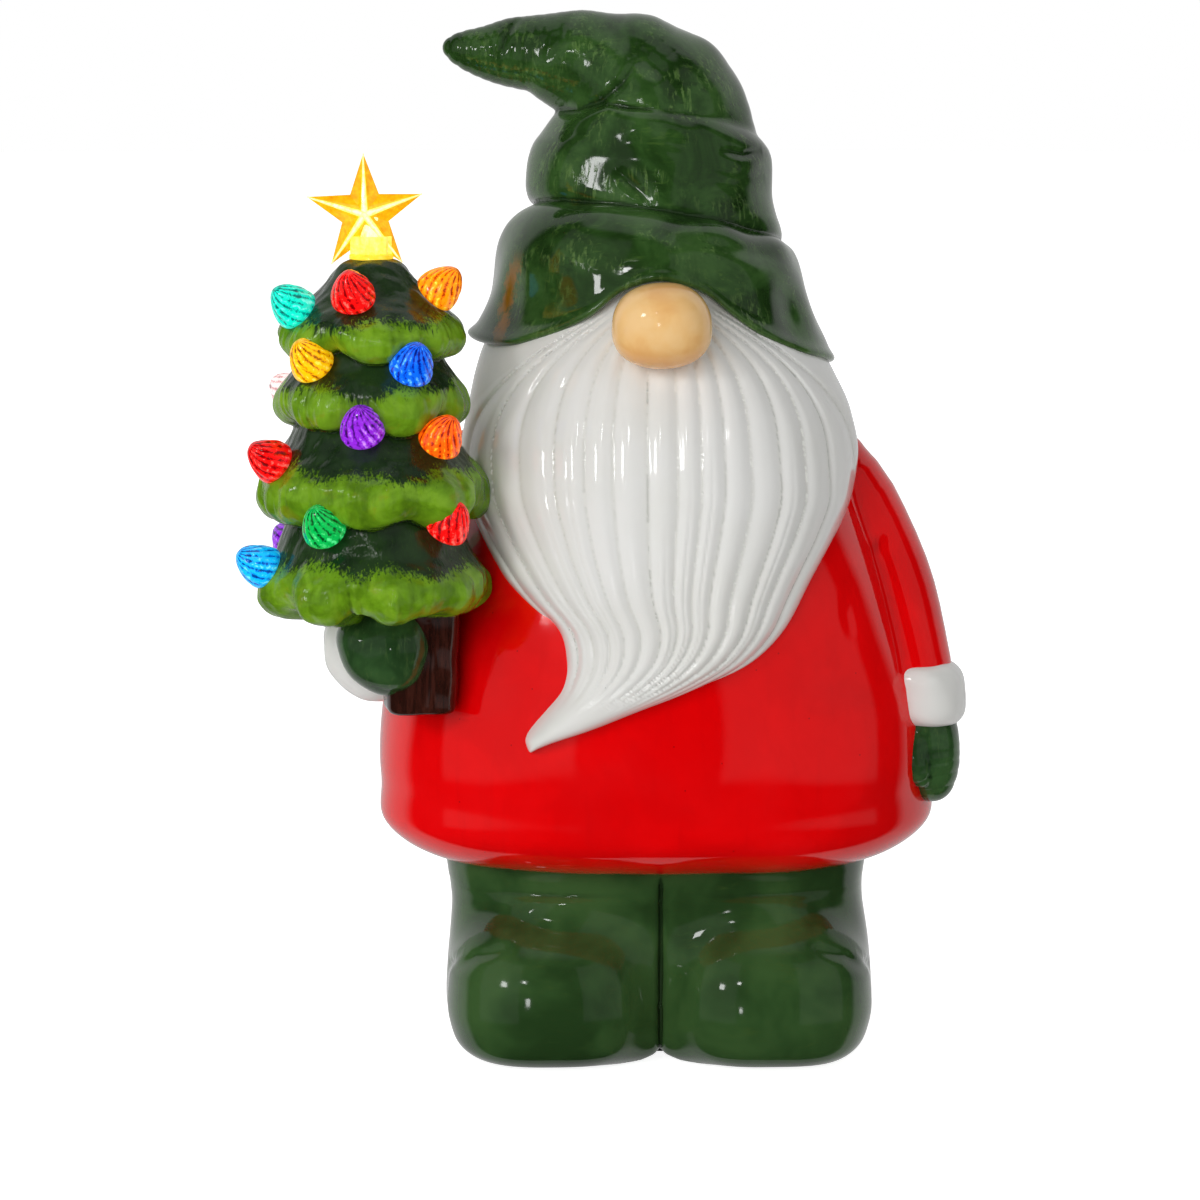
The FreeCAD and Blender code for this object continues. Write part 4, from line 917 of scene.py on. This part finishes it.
def tree_glaze(name):
    M = Mat(name)
    v = M.mm()
    tip = M.attr("tip")
    cav = M.attr("cav")
    dark = M.ramp(M.span(M.noise(v, 14, 3, 0.6), 0.3, 0.7), [(0.0, srgb(20, 40, 18)), (1.0, srgb(38, 62, 30))])
    bright = M.ramp(M.span(M.noise(v, 10, 4, 0.6, 0.5), 0.3, 0.7),
                    [(0.0, srgb(84, 123, 18)), (0.5, srgb(108, 154, 25)), (1.0, srgb(130, 175, 40))])
    # needle strokes: long vertical bristle marks that break up the change from dark to bright
    nd = M.noise(M.mm((1.0, 1.0, 0.13)), 0.95, 3, 0.65, 0.1)
    nd2 = M.noise(M.mm((1.0, 1.0, 0.10), (0.0, 0.12, 0.0)), 0.6, 2, 0.6)
    e = M.math("ADD", tip, M.math("MULTIPLY", M.math("SUBTRACT", nd, 0.5), 2.6))
    e = M.math("ADD", e, M.math("MULTIPLY", M.math("SUBTRACT", nd2, 0.5), 1.2))
    e = M.math("ADD", e, M.math("MULTIPLY", M.math("SUBTRACT", M.noise(v, 12, 2, 0.5), 0.5), 1.4))
    k = M.span(e, 0.1, 0.9)
    col = M.mix(k, dark, bright)
    # bristle marks inside the upper bright part
    st = M.math("MULTIPLY", M.span(nd, 0.42, 0.30), M.span(tip, 2.0, 0.4))
    col = M.mix(M.math("MULTIPLY", st, 0.5), col, srgb(44, 74, 18))
    # painted shade: the undersides go a darker olive
    col = M.mix(M.span(tip, 4.4, 6.2, 0.0, 0.6), col, srgb(74, 104, 18))
    thin = M.math("MULTIPLY", M.span(M.noise(v, 9, 3, 0.6), 0.56, 0.72), M.span(tip, 0.6, 1.6))
    col = M.mix(M.math("MULTIPLY", thin, 0.35), col, srgb(150, 128, 22))
    # painted shade: darker in the creases
    col = M.mix(M.span(cav, 0.015, 0.14, 0.0, 0.8), col, srgb(18, 40, 12))
    # painted highlight: pale on the raised edges of the bright part
    col = M.mix(M.math("MULTIPLY", M.span(cav, -0.05, -0.25), M.span(tip, 0.2, 1.0, 0.0, 0.5)), col, srgb(166, 206, 84))
    M.set(Base_Color=col)
    glaze_finish(M, 0.07, 0.45, M.math("MULTIPLY", M.span(nd, 0.3, 0.7), 0.8), 0.06)
    return M.m


def trunk_glaze(name):
    M = Mat(name)
    v = M.mm()
    st = M.noise(M.mm((0.8, 0.8, 0.12)), 1.6, 4, 0.6, 0.3)
    col = M.ramp(M.span(st, 0.3, 0.7), [(0.0, srgb(38, 16, 10)), (0.6, srgb(52, 23, 16)), (1.0, srgb(66, 32, 24))])
    cav = M.attr("cav")
    # painted shade: darker in the creases
    col = M.mix(M.span(cav, 0.01, 0.12, 0.0, 0.7), col, srgb(20, 8, 6))
    M.set(Base_Color=col)
    glaze_finish(M, 0.06, 0.5, M.math("MULTIPLY", st, 0.3), 0.03)
    return M.m


def mitten_glaze(name):
    M = Mat(name)
    v = M.mm()
    col = M.ramp(M.span(M.noise(v, 14, 3, 0.55, 0.4), 0.3, 0.7), [(0.0, srgb(33, 60, 29)), (0.5, srgb(46, 77, 40)), (1.0, srgb(59, 94, 50))])
    s1 = M.noise(M.mm((0.9, 0.9, 0.2), (0.0, 0.4, 0.0)), 1.5, 4, 0.6, 0.3)
    k = M.math("MULTIPLY", M.span(s1, 0.52, 0.7), 0.22)
    col = M.mix(k, col, srgb(92, 122, 66))
    cav = M.attr("cav")
    # painted shade: darker green in the creases
    col = M.mix(M.span(cav, 0.01, 0.12, 0.0, 0.8), col, srgb(16, 34, 14))
    # painted highlight: lighter green on the raised edges
    col = M.mix(M.span(cav, -0.07, -0.3, 0.0, 0.35), col, srgb(96, 128, 80))
    M.set(Base_Color=col)
    glaze_finish(M, 0.06, 0.45, M.math("MULTIPLY", k, 0.6), 0.035)
    return M.m


def bulb_plastic(name, deep, mid, hot, glow=0.55):
    """Cast translucent plastic with a lamp behind it, as painted light: the glow and the bright streaks where the
    flutes gather the light are put into its colour and emission.
    """
    M = Mat(name)
    v = M.mm()
    fl = M.attr("flute")        # 0 in the groove, 1 on the rib
    up = M.attr("rise")         # 0 at the rim, 1 at the tip
    ang = M.attr("turn")
    n1 = M.noise(v, 2.6, 3, 0.65, 1.2)
    n2 = M.noise(v, 1.1, 2, 0.6, 0.6)
    t = M.math("ADD", M.math("MULTIPLY", fl, 0.36), M.math("MULTIPLY", n1, 0.98))
    t = M.math("SUBTRACT", t, M.math("MULTIPLY", up, 0.12))
    t = M.math("ADD", t, M.math("MULTIPLY", M.math("SUBTRACT", n2, 0.5), 0.35))
    dark = tuple(c * 0.3 for c in deep[:3])
    # painted light: dark in the grooves, brightest on the ribs and in noisy streaks
    col = M.ramp(M.span(t, 0.26, 1.02), [(0.0, dark), (0.22, deep), (0.48, mid), (0.78, mid), (1.0, hot)])
    # the painted colour is also the emission, so the plastic glows though it is no lamp
    M.set(Base_Color=col, Emission_Color=col)
    M.b.inputs["Emission Strength"].default_value = glow
    M.b.inputs["IOR"].default_value = 1.49
    M.set(Roughness=M.span(n1, 0.3, 0.7, 0.04, 0.14))
    M.b.inputs["Coat Weight"].default_value = 0.3
    M.b.inputs["Coat Roughness"].default_value = 0.02
    M.bump(M.noise(v, 1.6, 2, 0.5), 1.0, 0.05)
    return M.m


def star_plastic(name):
    M = Mat(name)
    v = M.mm()
    r = M.attr("ridge")
    n1 = M.noise(v, 3.2, 3, 0.65, 1.0)
    n2 = M.noise(v, 1.2, 2, 0.6)
    t = M.math("ADD", r, M.math("MULTIPLY", M.math("SUBTRACT", n1, 0.5), 0.55))
    t = M.math("ADD", t, M.math("MULTIPLY", M.math("SUBTRACT", n2, 0.5), 0.25))
    # painted highlight: brighter towards the crest of each rib, from the ridge attribute
    col = M.ramp(t, [(0.0, srgb(204, 124, 6)), (0.30, srgb(240, 182, 18)), (0.6, srgb(252, 218, 56)), (0.85, srgb(255, 244, 130)), (1.0, srgb(255, 252, 200))])
    # painted glow: the colour is also the emission
    M.set(Base_Color=col, Emission_Color=col)
    M.b.inputs["Emission Strength"].default_value = 0.6
    M.set(Roughness=M.span(n1, 0.3, 0.7, 0.05, 0.15))
    M.b.inputs["Coat Weight"].default_value = 0.3
    M.b.inputs["Coat Roughness"].default_value = 0.02
    M.bump(n2, 1.0, 0.04)
    return M.m


def moulded_plastic(name, base, var, rough, grain=0.5, depth=0.04):
    M = Mat(name)
    v = M.mm()
    n = M.noise(v, 20, 3, 0.5)
    g = M.noise(v, grain, 2, 0.6)
    M.set(Base_Color=M.mix(M.span(n, 0.3, 0.7), base, var), Roughness=M.span(M.noise(v, 6, 3, 0.6), 0.3, 0.7, rough * 0.85, rough * 1.2))
    M.bump(g, 0.9, depth)
    return M.m


def plated_steel(name, base):
    M = Mat(name)
    v = M.mm()
    n = M.noise(M.mm((1, 1, 0.1)), 0.5, 3, 0.6)
    M.set(Base_Color=M.mix(M.span(n, 0.3, 0.7), base, tuple(c * 0.8 for c in base)), Roughness=M.span(n, 0.2, 0.8, 0.2, 0.38))
    M.b.inputs["Metallic"].default_value = 1.0
    M.bump(n, 0.5, 0.01)
    return M.m


def soft_rubber(name, base, rough=0.6):
    M = Mat(name)
    v = M.mm()
    n = M.noise(v, 2.5, 3, 0.6)
    M.set(Base_Color=M.mix(M.span(n, 0.3, 0.7), base, tuple(c * 0.88 for c in base)), Roughness=M.span(n, 0.3, 0.7, rough * 0.9, rough * 1.15))
    M.bump(M.noise(v, 0.8, 2, 0.5), 0.6, 0.03)
    return M.m


def board_mat(name):
    M = Mat(name)
    v = M.mm()
    tr = M.voronoi(M.mm((0.6, 0.6, 0.6)), 2.4, "DISTANCE_TO_EDGE")
    col = M.mix(M.span(tr, 0.06, 0.10), srgb(30, 96, 52), srgb(12, 62, 34))
    M.set(Base_Color=col, Roughness=M.span(M.noise(v, 3, 2, 0.5), 0.3, 0.7, 0.3, 0.45))
    M.bump(tr, 0.4, 0.03)
    return M.m


# =====================================================================================================
# camera first, then the pieces
# =====================================================================================================
def mmv(x, y, z):
    return Vector(((x + AX) / 1000.0, (y + AY) / 1000.0, z / 1000.0))


ELEV, DIST = math.radians(8.0), 1400.0
target = mmv(-19.2, 0, 147.2)
cam_data = bpy.data.cameras.new("camera")
cam_data.sensor_width = 36.0
cam_data.lens = 36.0 * (1400.0 / 0.334) / 1200.0
cam_data.clip_start, cam_data.clip_end = 0.05, 60.0
cam = bpy.data.objects.new("camera", cam_data)
bpy.context.scene.collection.objects.link(cam)
cam.location = target + Vector((0, -math.cos(ELEV), math.sin(ELEV))) * DIST / 1000.0
cam.rotation_euler = (target - cam.location).to_track_quat("-Z", "Y").to_euler()
bpy.context.scene.camera = cam


def finish_piece(ob, mat, nodes, body=ROOT):
    ob.data.materials.clear()
    ob.data.materials.append(mat)
    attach(ob, body)
    if nodes:
        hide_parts(*nodes)
    return ob


coat = field_piece("coat_glazed", f_coat, (-112, -84, 60), (106, 76, 244), 1.25, 3)
finish_piece(coat, red_glaze("red_glaze_paint"), ["coat", "left_sleeve", "right_sleeve"])

legs = field_piece("boots_glazed", f_legs, (-76, -73, -1), (77, 55, 69), 0.95, 3)
finish_piece(legs, boot_glaze("boot_glaze_paint"), ["boots_and_trousers"])

beard = field_piece("beard_glazed", f_beard, (-69, -91, 105), (69, 6, 265), 0.74, 2, {"valley": beard_valley})
finish_piece(beard, white_glaze("white_glaze_beard", True), ["beard"])

hat = field_piece("hat_glazed", f_hat, (-74, -72, 220), (70, 74, 346), 0.95, 3)
finish_piece(hat, green_glaze("green_glaze_hat", True), ["hat"])

nose = field_piece("nose_glazed", f_nose, (-18, -92, 228), (19, -56, 261), 0.6, 3)
finish_piece(nose, nose_glaze("peach_glaze"), ["nose"])

white_cuff = white_glaze("white_glaze_cuffs")
mitt = mitten_glaze("green_glaze_mittens")
lc = field_piece("left_cuff_glazed", f_left_cuff, (68, -46, 105), (105, -2, 135), 0.6, 3)
finish_piece(lc, white_cuff, ["left_cuff"])
rc = field_piece("right_cuff_glazed", f_right_cuff, (-112, -56, 117), (-68, -29, 160), 0.6, 3)
finish_piece(rc, white_cuff, ["right_cuff"])
lm = field_piece("left_mitten_glazed", f_left_mitten, (74, -46, 80), (104, -8, 117), 0.55, 3)
finish_piece(lm, mitt, ["left_mitten"])
rm = field_piece("right_mitten_glazed", f_right_mitten, (-106, -82, 124), (-64, -46, 160), 0.55, 3)
finish_piece(rm, mitt, ["right_mitten"])
tk = field_piece("trunk_glazed", f_trunk, (-93, -75, 117), (-61, -45, 156), 0.55, 3)
finish_piece(tk, trunk_glaze("brown_glaze"), ["tree_trunk"])
tree = field_piece("tree_glazed", f_tree, (-134, -106, 143), (-49, -20, 268), 0.62, 2, {"tip": tree_tip})
finish_piece(tree, tree_glaze("foliage_glaze_paint"), ["tree_foliage"])

# ---- bulbs -------------------------------------------------------------------------------------------
BULBS = [
    ("teal", -149, 25.0, 248.5, 40), ("red", -102, 20.3, 252.3, 54), ("amber", -20, 20.8, 253.3, 45), ("azure", 95, 20.5, 251.0, 44),
    ("clear", 146, 29.5, 218.7, 30), ("yellow", -131, 25.2, 231.3, 50), ("blue", -60.5, 25.9, 230.4, 50), ("green", 100, 25.2, 230.2, 48),
    ("red", -153, 31.9, 200.5, 34), ("purple", -93.4, 27.3, 211.3, 52), ("orange", -44, 29.3, 207.3, 52), ("yellow", 122, 28.6, 207.2, 48),
    ("amber", 78, 28.6, 207.2, 48),
    ("azure", -160.5, 34.1, 167.1, 30), ("purple", 141, 32.5, 169.0, 40), ("green", -115.4, 30.4, 180.4, 50), ("red", -40.4, 30.4, 180.2, 52),
    ("teal", 95, 30.6, 178.0, 48),
]
PROF = np.array([(0.0, -0.8), (3.0, -0.75), (5.3, -0.35), (6.5, 0.4), (6.95, 1.3), (7.0, 2.3), (6.8, 3.8), (6.3, 5.4), (5.5, 7.2),
                 (4.4, 9.0), (3.2, 10.5), (2.0, 11.5), (0.9, 11.95), (0.0, 12.0)])
_d = np.r_[0, np.cumsum(np.hypot(*np.diff(PROF, axis=0).T))]


def bulb_mesh(name, az, r0, z0, tilt, seed):
    rs = np.random.RandomState(seed)
    nu, nv = 126, 40
    s = np.linspace(0, _d[-1], nv)
    R, H = pchip(_d, PROF[:, 0], s), pchip(_d, PROF[:, 1], s)
    R, H = R[1:-1], H[1:-1]
    th = np.linspace(0, 2 * np.pi, nu, endpoint=False)
    T, HH = np.meshgrid(th, H)
    RR = np.repeat(R[:, None], nu, 1)
    ribs = 14
    ph = ribs * (T + 0.075 * HH + 0.06 * np.sin(T * 2 + rs.uniform(0, 6))) / (2 * np.pi)
    fr = np.abs((ph - np.floor(ph)) * 2 - 1)
    rib = 1 - fr ** 1.5
    broken = 0.75 + 0.35 * np.sin(5 * T + 0.9 * HH + rs.uniform(0, 6))
    amp = 0.55 * broken * sstep(1.6, 4.2, HH) * sstep(12.0, 9.5, HH)
    RR = RR - amp * (1 - rib) * np.minimum(1, RR / 5.0) + 0.10 * np.sin(3 * T + HH * 0.5 + rs.uniform(0, 6))
    P = np.stack([RR * np.cos(T), RR * np.sin(T), HH + 0 * T], -1).reshape(-1, 3)
    P = np.vstack([P, [[0, 0, -0.8]], [[0, 0, 12.0]]])
    n = len(R)
    quads, tris = [], []
    for j in range(n - 1):
        for i in range(nu):
            k = (i + 1) % nu
            quads.append((j * nu + i, j * nu + k, (j + 1) * nu + k, (j + 1) * nu + i))
    lo, hi = n * nu, n * nu + 1
    for i in range(nu):
        k = (i + 1) % nu
        tris.append((lo, k, i))
        tris.append((hi, (n - 1) * nu + i, (n - 1) * nu + k))
    a, t = math.radians(az), math.radians(tilt)
    d = Vector((math.cos(a) * math.cos(t), math.sin(a) * math.cos(t), math.sin(t)))
    rot = d.to_track_quat("Z", "Y").to_matrix()
    spin = Matrix.Rotation(rs.uniform(0, 6.28), 3, "Z")
    M = np.array(rot @ spin)
    base = np.array([TX + r0 * math.cos(a), TY + r0 * math.sin(a), z0])
    W = P @ M.T + base
    me = bpy.data.meshes.new(name)
    me.from_pydata([tuple((w + np.array([AX, AY, 0])) / 1000.0) for w in W], [], quads + tris)
    me.update()
    me.polygons.foreach_set("use_smooth", np.full(len(me.polygons), True))
    at = {"flute": np.r_[rib.ravel(), 0.5, 0.5], "rise": np.r_[(HH / 12.0).ravel(), 0, 1], "turn": np.r_[(T / 6.2832).ravel(), 0, 0]}
    for key, val in at.items():
        q = me.attributes.new(key, "FLOAT", "POINT")
        q.data.foreach_set("value", val.astype(np.float32))
    ob = bpy.data.objects.new(name, me)
    bpy.context.scene.collection.objects.link(ob)
    return ob


PLASTIC = {
    "red": (srgb(150, 0, 4), srgb(238, 14, 14), srgb(255, 110, 96)),
    "amber": (srgb(206, 70, 4), srgb(252, 150, 8), srgb(255, 228, 60)),
    "orange": (srgb(186, 38, 2), srgb(250, 96, 8), srgb(255, 200, 40)),
    "yellow": (srgb(190, 110, 4), srgb(250, 188, 8), srgb(255, 236, 90)),
    "green": (srgb(2, 84, 34), srgb(6, 176, 76), srgb(90, 240, 150)),
    "teal": (srgb(2, 140, 128), srgb(8, 226, 196), srgb(130, 255, 236)),
    "azure": (srgb(4, 96, 196), srgb(14, 178, 244), srgb(120, 232, 255)),
    "blue": (srgb(2, 40, 170), srgb(8, 100, 232), srgb(110, 205, 255)),
    "purple": (srgb(66, 10, 120), srgb(138, 36, 206), srgb(206, 140, 250)),
    "clear": (srgb(226, 176, 176), srgb(248, 226, 224), srgb(255, 250, 248)),
}
count, bulb_mats = {}, {}
for i, (colour, az, r0, z0, tilt) in enumerate(BULBS):
    count[colour] = count.get(colour, 0) + 1
    node = "bulb_%s_%d" % (colour, count[colour])
    if colour not in bulb_mats:
        bulb_mats[colour] = bulb_plastic("plastic_" + colour, *PLASTIC[colour])
    ob = bulb_mesh("fluted_" + node, az, r0, z0, tilt, 100 + i)
    finish_piece(ob, bulb_mats[colour], [node])


# ---- star ----------------------------------------------------------------------------------------------
def star_piece():
    """Two moulded halves back to back, each arm with a raised rib, on a short tube with a toothed collar."""
    V, F, R = [], [], []
    cx, cy, cz = -93.1, TY, 278.7

    def add(p, r):
        V.append(p)
        R.append(r)
        return len(V) - 1
    for side in (-1, 1):
        for k in range(5):
            a = math.radians(90 + 72 * k + 1.5)
            tip = np.array([math.cos(a), math.sin(a)])
            nxt = np.array([math.cos(a + math.radians(36)), math.sin(a + math.radians(36))])
            prv = np.array([math.cos(a - math.radians(36)), math.sin(a - math.radians(36))])
            Rt, Ri, T, w = 19.0, 7.7, 4.2, 1.0
            perp = np.array([-tip[1], tip[0]])
            n = 14
            rows = []
            for j in range(n + 1):
                s = j / n
                # along the arm from the centre to the tip
                c = tip * Rt * s
                hz = T * (1 - s) + 0.35
                bar = w * (1 - s * 0.85)
                if s <= 0.0:
                    eL, eR = c, c
                for sgn, edge in ((1, nxt), (-1, prv)):
                    # outline point: from the inner corner out to the tip
                    pass
                rL = nxt * Ri * (1 - s) + tip * Rt * s
                rR = prv * Ri * (1 - s) + tip * Rt * s
                line = []
                for (q, h, rg) in ((rR, 0.5, 0.18), (c * 0.55 + rR * 0.45, hz * 0.55 + 0.25, 0.22), (c - perp * bar * 1.25, hz * 0.93, 0.32), (c - perp * bar, hz + 0.55, 0.8),
                                   (c, hz + 0.75, 1.0),
                                   (c + perp * bar, hz + 0.55, 0.8), (c + perp * bar * 1.25, hz * 0.93, 0.32), (c * 0.55 + rL * 0.45, hz * 0.55 + 0.25, 0.22), (rL, 0.5, 0.18)):
                    line.append(add((cx + q[0], cy + side * h, cz + q[1]), rg))
                rows.append(line)
            for j in range(n):
                for i in range(8):
                    f = (rows[j][i], rows[j][i + 1], rows[j + 1][i + 1], rows[j + 1][i])
                    F.append(f if side > 0 else f[::-1])
    # thin edge band between the halves
    for k in range(5):
        a = math.radians(90 + 72 * k + 1.5)
        for sgn in (1, -1):
            p = np.array([math.cos(a), math.sin(a)]) * 19.0
            q = np.array([math.cos(a + sgn * math.radians(36)), math.sin(a + sgn * math.radians(36))]) * 7.7
            ids = [add((cx + p[0], cy - 0.5, cz + p[1]), 0.1), add((cx + p[0], cy + 0.5, cz + p[1]), 0.1),
                   add((cx + q[0], cy + 0.5, cz + q[1]), 0.1), add((cx + q[0], cy - 0.5, cz + q[1]), 0.1)]
            F.append(tuple(ids) if sgn > 0 else tuple(ids[::-1]))

    def turned(profile, n, teeth=0, ridge=0.9):
        rows = []
        for r, z in profile:
            rows.append([])
            for i in range(n):
                t = 2 * math.pi * i / n
                rr = r
                if teeth and r > 5:
                    rr = r + (0.8 if (i * teeth * 2 // n) % 2 else -0.2)
                rows[-1].append(add((TX + rr * math.cos(t), TY + rr * math.sin(t), z), ridge))
        for a, b in zip(rows[:-1], rows[1:]):
            for i in range(n):
                k = (i + 1) % n
                F.append((a[i], a[k], b[k], b[i]))
        F.append(tuple(rows[0][::-1]))
        F.append(tuple(rows[-1]))
    turned([(3.6, 258.5), (3.6, 268), (3.5, 274), (3.2, 279.5), (2.6, 281.0)], 36, 0, 0.95)
    turned([(6.4, 264.3), (7.0, 264.7), (7.0, 265.9), (6.5, 266.4)], 96, 0, 0.55)
    turned([(5.9, 266.3), (5.9, 271.8)], 96, 12, 0.75)
    me = bpy.data.meshes.new("star_faceted")
    me.from_pydata([((x + AX) / 1000, (y + AY) / 1000, z / 1000) for x, y, z in V], [], F)
    me.update()
    # ridge: 1 on each rib's crest, lower towards the edges; it places the star's painted highlight
    q = me.attributes.new("ridge", "FLOAT", "POINT")
    q.data.foreach_set("value", np.array(R, np.float32))
    ob = bpy.data.objects.new("star_faceted", me)
    bpy.context.scene.collection.objects.link(ob)
    return ob


star = star_piece()
finish_piece(star, star_plastic("plastic_star"), ["star_topper"])

# ---- CAD pieces that keep their own shape get finished materials ----------------------------------------
case_m = moulded_plastic("case_plastic_black", srgb(38, 38, 40), srgb(46, 46, 48), 0.42, 0.35, 0.05)
door_m = moulded_plastic("door_plastic_black", srgb(42, 42, 44), srgb(50, 50, 52), 0.38, 0.35, 0.05)
KEEP = {
    "battery_case": case_m, "battery_door": door_m, "door_screw": plated_steel("zinc_plate", (0.66, 0.65, 0.62)),
    "switch_slider": moulded_plastic("slider_black", srgb(24, 24, 26), srgb(32, 32, 34), 0.3, 0.5, 0.02),
    "switch_housing": plated_steel("tin_plate", (0.6, 0.6, 0.62)),
    "foot_pads": soft_rubber("pad_clear_grey", srgb(206, 208, 210), 0.5), "case_seal": soft_rubber("seal_foam", srgb(40, 40, 42), 0.85),
    "timer_board": board_mat("board_green"), "lamp_board": board_mat("board_green_lamps"),
    "board_components": moulded_plastic("chip_black", srgb(26, 26, 28), srgb(36, 36, 38), 0.45, 0.3, 0.02),
    "board_screws": plated_steel("zinc_plate_small", (0.66, 0.65, 0.62)),
    "battery_cell_1": moulded_plastic("cell_sleeve", srgb(96, 100, 106), srgb(112, 116, 122), 0.28, 2.0, 0.01),
    "contact_springs": plated_steel("nickel_wire", (0.70, 0.68, 0.63)), "contact_plates": plated_steel("nickel_plate", (0.70, 0.68, 0.63)),
    "lamp_board_holder": moulded_plastic("holder_white", srgb(226, 226, 222), srgb(214, 214, 210), 0.4, 0.4, 0.03),
    "lamps": moulded_plastic("lamp_warm", srgb(252, 236, 176), srgb(255, 244, 200), 0.25, 0.6, 0.01),
    "lead_positive": soft_rubber("lead_red", srgb(176, 18, 20), 0.45), "lead_negative": soft_rubber("lead_black", srgb(24, 24, 26), 0.45),
}
KEEP["battery_cell_2"] = KEEP["battery_cell_3"] = KEEP["battery_cell_1"]
for node, mat in KEEP.items():
    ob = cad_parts[node]
    if not ob.material_slots:
        ob.data.materials.append(mat)
    for s in ob.material_slots:
        s.material = mat

# =====================================================================================================
# floor, light
# =====================================================================================================
bpy.ops.mesh.primitive_circle_add(vertices=96, radius=9.0, fill_type="NGON", location=(0, 0, 0))
floor = bpy.context.object
floor.name = "studio_floor"
Fm = Mat("floor_paper")
n = Fm.noise(Fm.mm(), 60, 3, 0.5)
Fm.set(Base_Color=Fm.mix(Fm.span(n, 0.3, 0.7), (0.80, 0.80, 0.80), (0.83, 0.83, 0.83)), Roughness=0.9)
Fm.b.inputs["Specular IOR Level"].default_value = 0.0
Fm.b.inputs["Emission Color"].default_value = (1, 1, 1, 1)
path = Fm.t.nodes.new("ShaderNodeLightPath")
Fm.put(Fm.b.inputs["Emission Strength"], Fm.math("MULTIPLY", path.outputs["Is Camera Ray"], 0.9))
floor.data.materials.append(Fm.m)
floor.visible_glossy = False

scene = bpy.context.scene
scene.view_settings.view_transform = "Standard"
scene.view_settings.look = "None"
scene.view_settings.exposure = 0.0
world = bpy.data.worlds.new("studio")
scene.world = world
world.use_nodes = True
wt = world.node_tree
wt.nodes.clear()


def wn(kind, **kw):
    q = wt.nodes.new(kind)
    for k, v in kw.items():
        setattr(q, k, v)
    return q


def wmath(op, a, b=None, clamp=False):
    q = wn("ShaderNodeMath", operation=op, use_clamp=clamp)
    for i, v in enumerate((a, b)):
        if v is None:
            continue
        if isinstance(v, bpy.types.NodeSocket):
            wt.links.new(v, q.inputs[i])
        else:
            q.inputs[i].default_value = v
    return q.outputs[0]


def wspan(v, a, b, lo=0.0, hi=1.0):
    q = wn("ShaderNodeMapRange", interpolation_type="SMOOTHSTEP")
    wt.links.new(v, q.inputs["Value"])
    for k, val in (("From Min", a), ("From Max", b), ("To Min", lo), ("To Max", hi)):
        q.inputs[k].default_value = val
    return q.outputs[0]


tc = wn("ShaderNodeTexCoord")
sp = wn("ShaderNodeSeparateXYZ")
wt.links.new(tc.outputs["Generated"], sp.inputs[0])
X, Y, Z = sp.outputs
az = wmath("ARCTAN2", X, wmath("MULTIPLY", Y, -1.0))          # 0 straight in front of the figure
el = wmath("ARCSINE", Z)
D = math.pi / 180
# tall soft boxes either side of the front, one behind, and a dim room between them
left = wmath("MULTIPLY", wspan(az, -84 * D, -79 * D), wspan(az, -15 * D, -19 * D))
right = wmath("MULTIPLY", wspan(az, 13 * D, 16 * D), wspan(az, 88 * D, 83 * D))
sides = wmath("MULTIPLY", wmath("ADD", left, right), wmath("MULTIPLY", wspan(el, -14 * D, -8 * D), wspan(el, 60 * D, 54 * D)))
rear = wspan(wmath("ABSOLUTE", az), 104 * D, 118 * D)
top = wspan(el, 64 * D, 74 * D)
lvl = wmath("ADD", wmath("MULTIPLY", sides, 0.24), 0.02)
lvl = wmath("MAXIMUM", lvl, wmath("MULTIPLY", rear, 0.6))
lvl = wmath("MAXIMUM", lvl, wmath("MULTIPLY", top, 0.55))
bg1 = wn("ShaderNodeBackground")
bg1.inputs[0].default_value = (1, 1, 1, 1)
wt.links.new(lvl, bg1.inputs[1])
bg2 = wn("ShaderNodeBackground")
bg2.inputs[0].default_value = (1, 1, 1, 1)
bg2.inputs[1].default_value = 1.0
lp = wn("ShaderNodeLightPath")
mx = wn("ShaderNodeMixShader")
wt.links.new(lp.outputs["Is Camera Ray"], mx.inputs[0])
wt.links.new(bg1.outputs[0], mx.inputs[1])
wt.links.new(bg2.outputs[0], mx.inputs[2])
wo = wn("ShaderNodeOutputWorld")
wt.links.new(mx.outputs[0], wo.inputs[0])
world.cycles.sampling_method = "MANUAL"
world.cycles.sample_map_resolution = 512


def area(name, az_deg, el_deg, dist, size, size_y, power, glossy=True, aim=(-0.02, 0, 0.17)):
    """A soft rectangle of light, seen from the figure at this azimuth (0 in front, positive to its left) and elevation."""
    li = bpy.data.lights.new(name, "AREA")
    li.shape = "RECTANGLE"
    li.size, li.size_y, li.energy = size, size_y, power
    o = bpy.data.objects.new(name, li)
    scene.collection.objects.link(o)
    a, e = math.radians(az_deg), math.radians(el_deg)
    o.location = Vector(aim) + Vector((math.sin(a) * math.cos(e), -math.cos(a) * math.cos(e), math.sin(e))) * dist
    o.rotation_euler = (Vector(aim) - o.location).to_track_quat("-Z", "Y").to_euler()
    o.visible_camera = False
    o.visible_glossy = glossy
    return o


area("key_window", -38, 21, 1.9, 0.27, 0.31, 3.6)
area("key_spot", -13, 30, 1.9, 0.10, 0.12, 0.75)
area("low_spot", -9, -1.5, 1.5, 0.075, 0.10, 0.28)
area("fill_front", -20, 15, 3.0, 1.9, 1.6, 33.0, glossy=False)
area("fill_left", -64, 16, 3.0, 1.6, 1.6, 12.0, glossy=False)
area("fill_right", 62, 15, 3.0, 1.6, 1.6, 11.0, glossy=False)
area("fill_rear", 170, 30, 3.0, 1.8, 1.6, 9.0, glossy=False)
